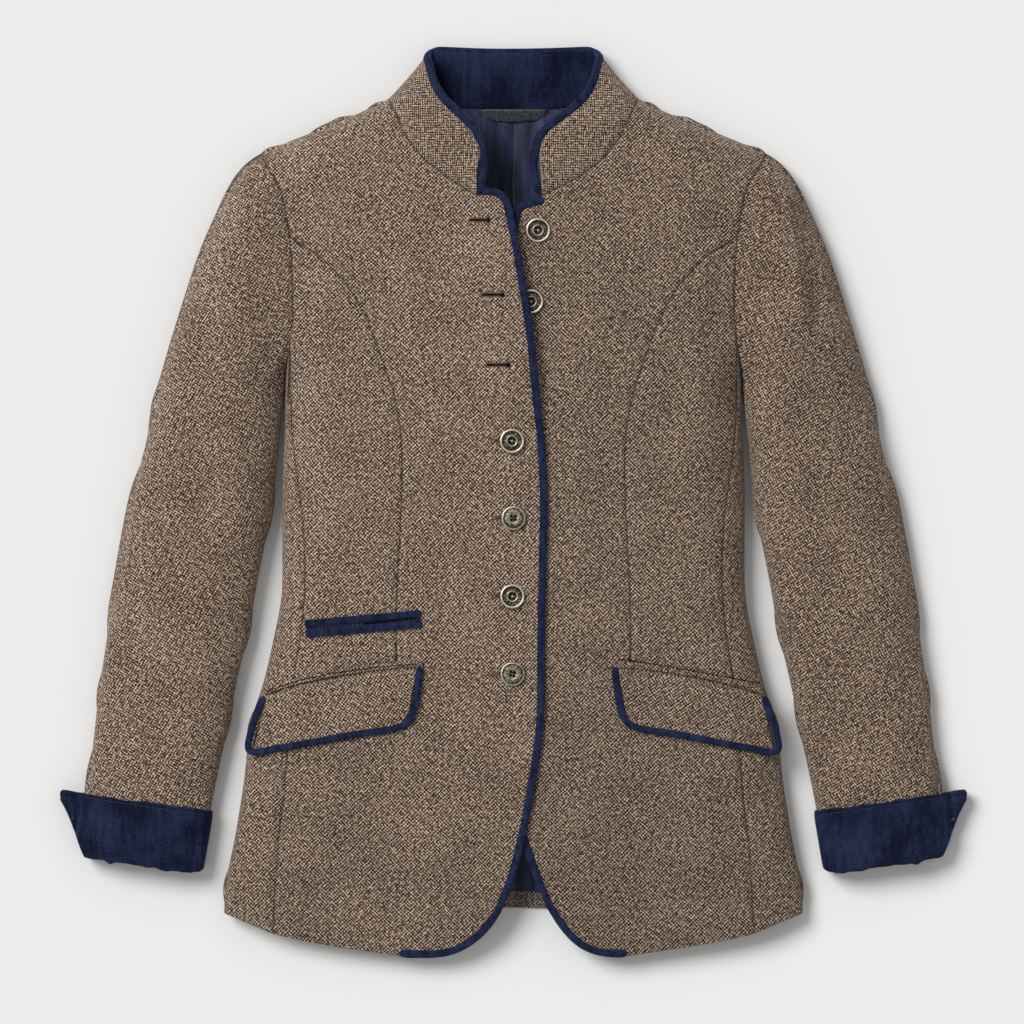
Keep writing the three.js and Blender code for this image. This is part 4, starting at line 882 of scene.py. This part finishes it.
class BLAZER_OT_pockets(bpy.types.Operator):
    """Make the hip flaps and the ticket pocket"""
    bl_idname = "blazer.pockets"
    bl_label = "Pockets"

    def execute(self, context):
        for side, sign in SIDES.items():
            cloth_piece("flap", side, body_tweed(side), 3, turn=10 * sign)
            cloth_piece("flap_jet", side, body_tweed(side), 3, turn=-4 * sign)
        for part in ("upper", "lower"):
            cloth_piece(f"ticket_welt_{part}", "", trim_velvet(), 3)
        # Dark bars of painted shade along the jets' upper edges and in the ticket slit
        made = bmesh.new()
        for line, side in zip(JET_LINES, ("Right", "Left")):
            trees = [tree_of(bpy.data.objects[f"{part}_{side}"].data)
                     for part in ("Flap_Jet", "Front", "Side_Front", "Side_Panel")]
            line_over(made, trees, [along(line, k / 30) for k in range(31)], 0.9, 0.05)
        trees = [tree_of(bpy.data.objects[name].data)
                 for name in ("Ticket_Welt_Upper", "Ticket_Welt_Lower", "Front_Right", "Side_Panel_Right")]
        for k in range(24):
            opened = 0.7 + 1.3 * math.sin(math.pi * (k + 0.5) / 24) ** 1.5
            line_over(made, trees, [along(TICKET_SLIT, (k + step) / 24) for step in (-0.2, 1.2)], opened, 0.25)
        finish_piece("Pocket_lines", as_mesh(made), thread_stuff("Slit", colours().slit_shade, 0.0))
        return {"FINISHED"}


class BLAZER_OT_bindings(bpy.types.Operator):
    """Make the velvet bindings of the fronts, collar and flaps"""
    bl_idname = "blazer.bindings"
    bl_label = "Bindings"

    def execute(self, context):
        trim = trim_velvet()
        for side in SIDES:
            cloth_piece("front_binding", side, trim, 2, crease=0.0, plump=0.65)
            cloth_piece("flap_binding", side, trim, 2, crease=0.0, plump=0.55)
        cloth_piece("collar_binding", "", trim, 2, crease=0.0, plump=0.85)
        return {"FINISHED"}


class BLAZER_OT_buttons(bpy.types.Operator):
    """Make the metal buttons and the thread that holds them"""
    bl_idname = "blazer.buttons"
    bl_label = "Buttons"

    def execute(self, context):
        kinds = {True: self.shape(DISHED, DISHED_WEAR), False: self.shape(DOMED, DOMED_WEAR)}
        metal = button_metal()
        rng = random.Random(11)
        threads = bmesh.new()
        for node, dished in BUTTONS.items():
            low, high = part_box(node)
            middle = (low + high) / 2
            turn = rng.uniform(-14, 14)
            tilt = Matrix.Rotation(math.radians(rng.uniform(-2, 2)), 4, "X")
            place = Matrix.Translation((middle.x, middle.y, low.z)) @ Matrix.Rotation(math.radians(turn), 4, "Z") @ tilt
            mesh = kinds[dished].copy()
            mesh.transform(place)
            finish_piece(piece_name(node), mesh, metal, node)
            height = 1.3 if dished else 2.1
            for x in (-1.3, 1.3):
                ends = [place @ (Vector((x, y, height)) * MM) for y in (-1.35, 1.35)]
                bar(threads, *ends, sizes().thread * 1.2, 8, 6)
        finish_piece("Button_threads", as_mesh(threads), thread_stuff("Dark thread", (0.02, 0.014, 0.010, 1)))
        return {"FINISHED"}

    def shape(self, profile, wear):
        """A button turned from its profile, with four holes through it."""
        made = bmesh.new()
        row = [made.verts.new((radius * MM, 0, height * MM)) for radius, height in profile]
        edges = [made.edges.new(pair) for pair in zip(row, row[1:])]
        bmesh.ops.spin(made, geom=row + edges, cent=(0, 0, 0), axis=(0, 0, 1), angle=math.tau, steps=56,
                       use_merge=True)
        bmesh.ops.remove_doubles(made, verts=made.verts, dist=1e-6)
        bmesh.ops.recalc_face_normals(made, faces=made.faces)
        drill = bmesh.new()
        off, radius, hole_shade_reach = (value * MM for value in BUTTON_HOLE.values())
        for x in (-off, off):
            for y in (-off, off):
                bmesh.ops.create_cone(drill, cap_ends=True, segments=14, radius1=radius, radius2=radius,
                                      depth=12 * MM, matrix=Matrix.Translation((x, y, 0)))
        bits = bpy.data.objects.new("bits", as_mesh(drill))
        bpy.context.scene.collection.objects.link(bits)
        mesh = modified(as_mesh(made), "BOOLEAN", operation="DIFFERENCE", object=bits, solver="EXACT")
        bpy.data.objects.remove(bits)
        layer = mesh.attributes.new("Wear and hole shade", "FLOAT", "POINT")
        for vertex in mesh.vertices:
            away = math.hypot(vertex.co.x, vertex.co.y) / MM
            for (r0, w0), (r1, w1) in zip(wear, wear[1:]):
                if r0 <= away <= r1 + 0.1:
                    layer.data[vertex.index].value = w0 + (w1 - w0) * min(1, (away - r0) / (r1 - r0))
            # Painted shade: the metal round each hole is set to the darkest value
            if math.hypot(abs(vertex.co.x) - off, abs(vertex.co.y) - off) < hole_shade_reach:
                layer.data[vertex.index].value = -1
        return mesh


class BLAZER_OT_buttonholes(bpy.types.Operator):
    """Make the buttonholes with the painted shade of their slits, stitched edges and bar tacks"""
    bl_idname = "blazer.buttonholes"
    bl_label = "Buttonholes"

    def execute(self, context):
        tree = tree_of(bpy.data.objects["Front_Right"].data)
        slit_shades, stitches = bmesh.new(), bmesh.new()
        rng = random.Random(3)
        for k, (left, eye, y) in enumerate(HOLES):
            self.slit_shade(slit_shades, tree, left, eye, y, k < OPEN_HOLES)
            self.edge(stitches, tree, left, eye, y, rng)
        finish_piece("Buttonhole_slits", as_mesh(slit_shades), thread_stuff("Slit", colours().slit_shade, 0.0))
        finish_piece("Buttonhole_stitches", as_mesh(stitches), thread_stuff("Buttonhole twist", colours().thread))
        return {"FINISHED"}

    def slit_shade(self, made, tree, left, eye, y, is_open):
        """Painted shade of a slit and of its eye: dark bars, narrower and shorter where a button fills it."""
        start, width = (left + 1, 1.6) if is_open else (left + 3, 0.9)
        line_over(made, [tree], [(start + (eye - start - 1.5) * k / 8, y) for k in range(9)], width, 0.2)
        top, foot = on_top(tree, eye - 1.2, y + 0.6, 0.25), on_top(tree, eye - 1.2, y - 0.6, 0.25)
        bar(made, top, foot, 2.6 * MM, 12, 8)

    def edge(self, made, tree, left, eye, y, rng):
        """Buttonhole twist laid stitch by stitch round the slit and its eye, closed by a bar tack."""
        thickness = sizes().thread
        x = left + 0.8
        while x < eye - 2.6:
            for up in (-1, 1):
                near, far = y + up * 0.85, y + up * rng.uniform(1.7, 2.0)
                lean = rng.uniform(-0.12, 0.12)
                bar(made, on_top(tree, x, near, 0.16), on_top(tree, x + lean, far, 0.02), thickness)
            x += 0.5
        for k in range(15):
            angle = math.radians(-140 + 20 * k)
            dx, dy = math.cos(angle), math.sin(angle)
            bar(made, on_top(tree, eye - 1.2 + 1.45 * dx, y + 2.0 * dy, 0.16),
                on_top(tree, eye - 1.2 + 2.4 * dx, y + 3.0 * dy, 0.02), thickness)
        for k in range(4):
            x = left - 0.2 + 0.35 * k
            bar(made, on_top(tree, x, y - 2.1, 0.15), on_top(tree, x, y + 2.1, 0.15), thickness)


class BLAZER_OT_cuff_stitches(bpy.types.Operator):
    """Make the small stitches that hold the wings of the cuffs"""
    bl_idname = "blazer.cuff_stitches"
    bl_label = "Cuff stitches"

    def execute(self, context):
        made = bmesh.new()
        for side, (x, y) in {"Right": (-362.5, -260.2), "Left": (361.5, -261.5)}.items():
            tree = tree_of(bpy.data.objects[f"Cuff_{side}"].data)
            sign = 1 if side == "Left" else -1
            tacks = [((-2.6, 0.55 * k), (2.4, 0.9 + 0.5 * k)) for k in range(3)] + [((-1.2, 2.6), (0.2, -1.6))]
            for tack in tacks:
                bar(made, *(on_top(tree, x + u * sign, y + v, 0.2) for u, v in tack), sizes().thread * 1.2)
            (x0, y0), (x1, y1) = CUFF_TOP
            for k in range(50):
                share = 0.12 + 0.85 * k / 50
                ends = [(sign * -(x0 + (x1 - x0) * part), y0 + (y1 - y0) * part - 4.6)
                        for part in (share, share + 0.011)]
                bar(made, *(on_top(tree, u, v, 0.02) for u, v in ends), sizes().thread * 0.9)
        finish_piece("Cuff_stitches", as_mesh(made), thread_stuff("Cuff thread", (0.045, 0.058, 0.11, 1)))
        return {"FINISHED"}


class BLAZER_OT_cloths(bpy.types.Operator):
    """Does nothing and finishes at once"""
    bl_idname = "blazer.cloths"
    bl_label = "Cloths"

    def execute(self, context):
        return {"FINISHED"}


class BLAZER_OT_stage(bpy.types.Operator):
    """Make the floor, the lights and the camera"""
    bl_idname = "blazer.stage"
    bl_label = "Stage"

    def execute(self, context):
        stage = context.scene.blazer_stage
        made = bmesh.new()
        bmesh.ops.create_grid(made, x_segments=1, y_segments=1, size=8)
        mesh = bpy.data.meshes.new("Floor")
        made.to_mesh(mesh)
        made.free()
        mesh.transform(Matrix.Translation((0, 0, -0.2 * MM)))
        mesh.materials.append(floor_paint())
        floor = bpy.data.objects.new("Floor", mesh)
        context.scene.collection.objects.link(floor)
        key = bpy.data.lights.new("Key", "SUN")
        key.energy = stage.key_strength
        key.angle = math.radians(30)
        lamp = bpy.data.objects.new("Key", key)
        lamp.rotation_euler = LIGHT_WAY.to_track_quat("-Z", "Y").to_euler()
        context.scene.collection.objects.link(lamp)
        world = bpy.data.worlds.new("Studio")
        world.use_nodes = True
        world.node_tree.nodes["Background"].inputs["Color"].default_value = (1, 1, 1, 1)
        world.node_tree.nodes["Background"].inputs["Strength"].default_value = stage.sky_strength
        context.scene.world = world
        context.scene.view_settings.view_transform = "Standard"
        camera = bpy.data.cameras.new("Camera")
        camera.sensor_width = 36
        camera.lens = 36 * stage.camera_height / stage.frame_width
        camera.clip_end = 30
        eye = bpy.data.objects.new("Camera", camera)
        eye.location = Vector(CAMERA_OVER) * MM + Vector((0, 0, stage.camera_height))
        context.scene.collection.objects.link(eye)
        context.scene.camera = eye
        return {"FINISHED"}


STEPS = ("fronts", "sleeves", "inside", "collar", "cuffs", "pockets", "bindings", "buttons", "buttonholes",
         "cuff_stitches", "cloths", "stage")


class BLAZER_PT_panel(bpy.types.Panel):
    """Sizes, colours and steps of the blazer"""
    bl_label = "Blazer"
    bl_idname = "BLAZER_PT_panel"
    bl_space_type = "VIEW_3D"
    bl_region_type = "UI"
    bl_category = "Blazer"

    def draw(self, context):
        for group in (context.scene.blazer_sizes, context.scene.blazer_colours, context.scene.blazer_stage):
            for name in group.__annotations__:
                self.layout.prop(group, name)
        for step in STEPS:
            self.layout.operator(f"blazer.{step}")


CLASSES = (BlazerSizes, BlazerColours, BlazerStage, BLAZER_OT_fronts, BLAZER_OT_sleeves, BLAZER_OT_inside,
           BLAZER_OT_collar, BLAZER_OT_cuffs, BLAZER_OT_pockets, BLAZER_OT_bindings, BLAZER_OT_buttons,
           BLAZER_OT_buttonholes, BLAZER_OT_cuff_stitches, BLAZER_OT_cloths, BLAZER_OT_stage, BLAZER_PT_panel)


def register():
    for made in CLASSES:
        bpy.utils.register_class(made)
    bpy.types.Scene.blazer_sizes = PointerProperty(type=BlazerSizes)
    bpy.types.Scene.blazer_colours = PointerProperty(type=BlazerColours)
    bpy.types.Scene.blazer_stage = PointerProperty(type=BlazerStage)


def unregister():
    del bpy.types.Scene.blazer_stage
    del bpy.types.Scene.blazer_colours
    del bpy.types.Scene.blazer_sizes
    for made in reversed(CLASSES):
        bpy.utils.unregister_class(made)


def main():
    register()
    for step in STEPS:
        getattr(bpy.ops.blazer, step)()


if __name__ == "__main__":
    main()
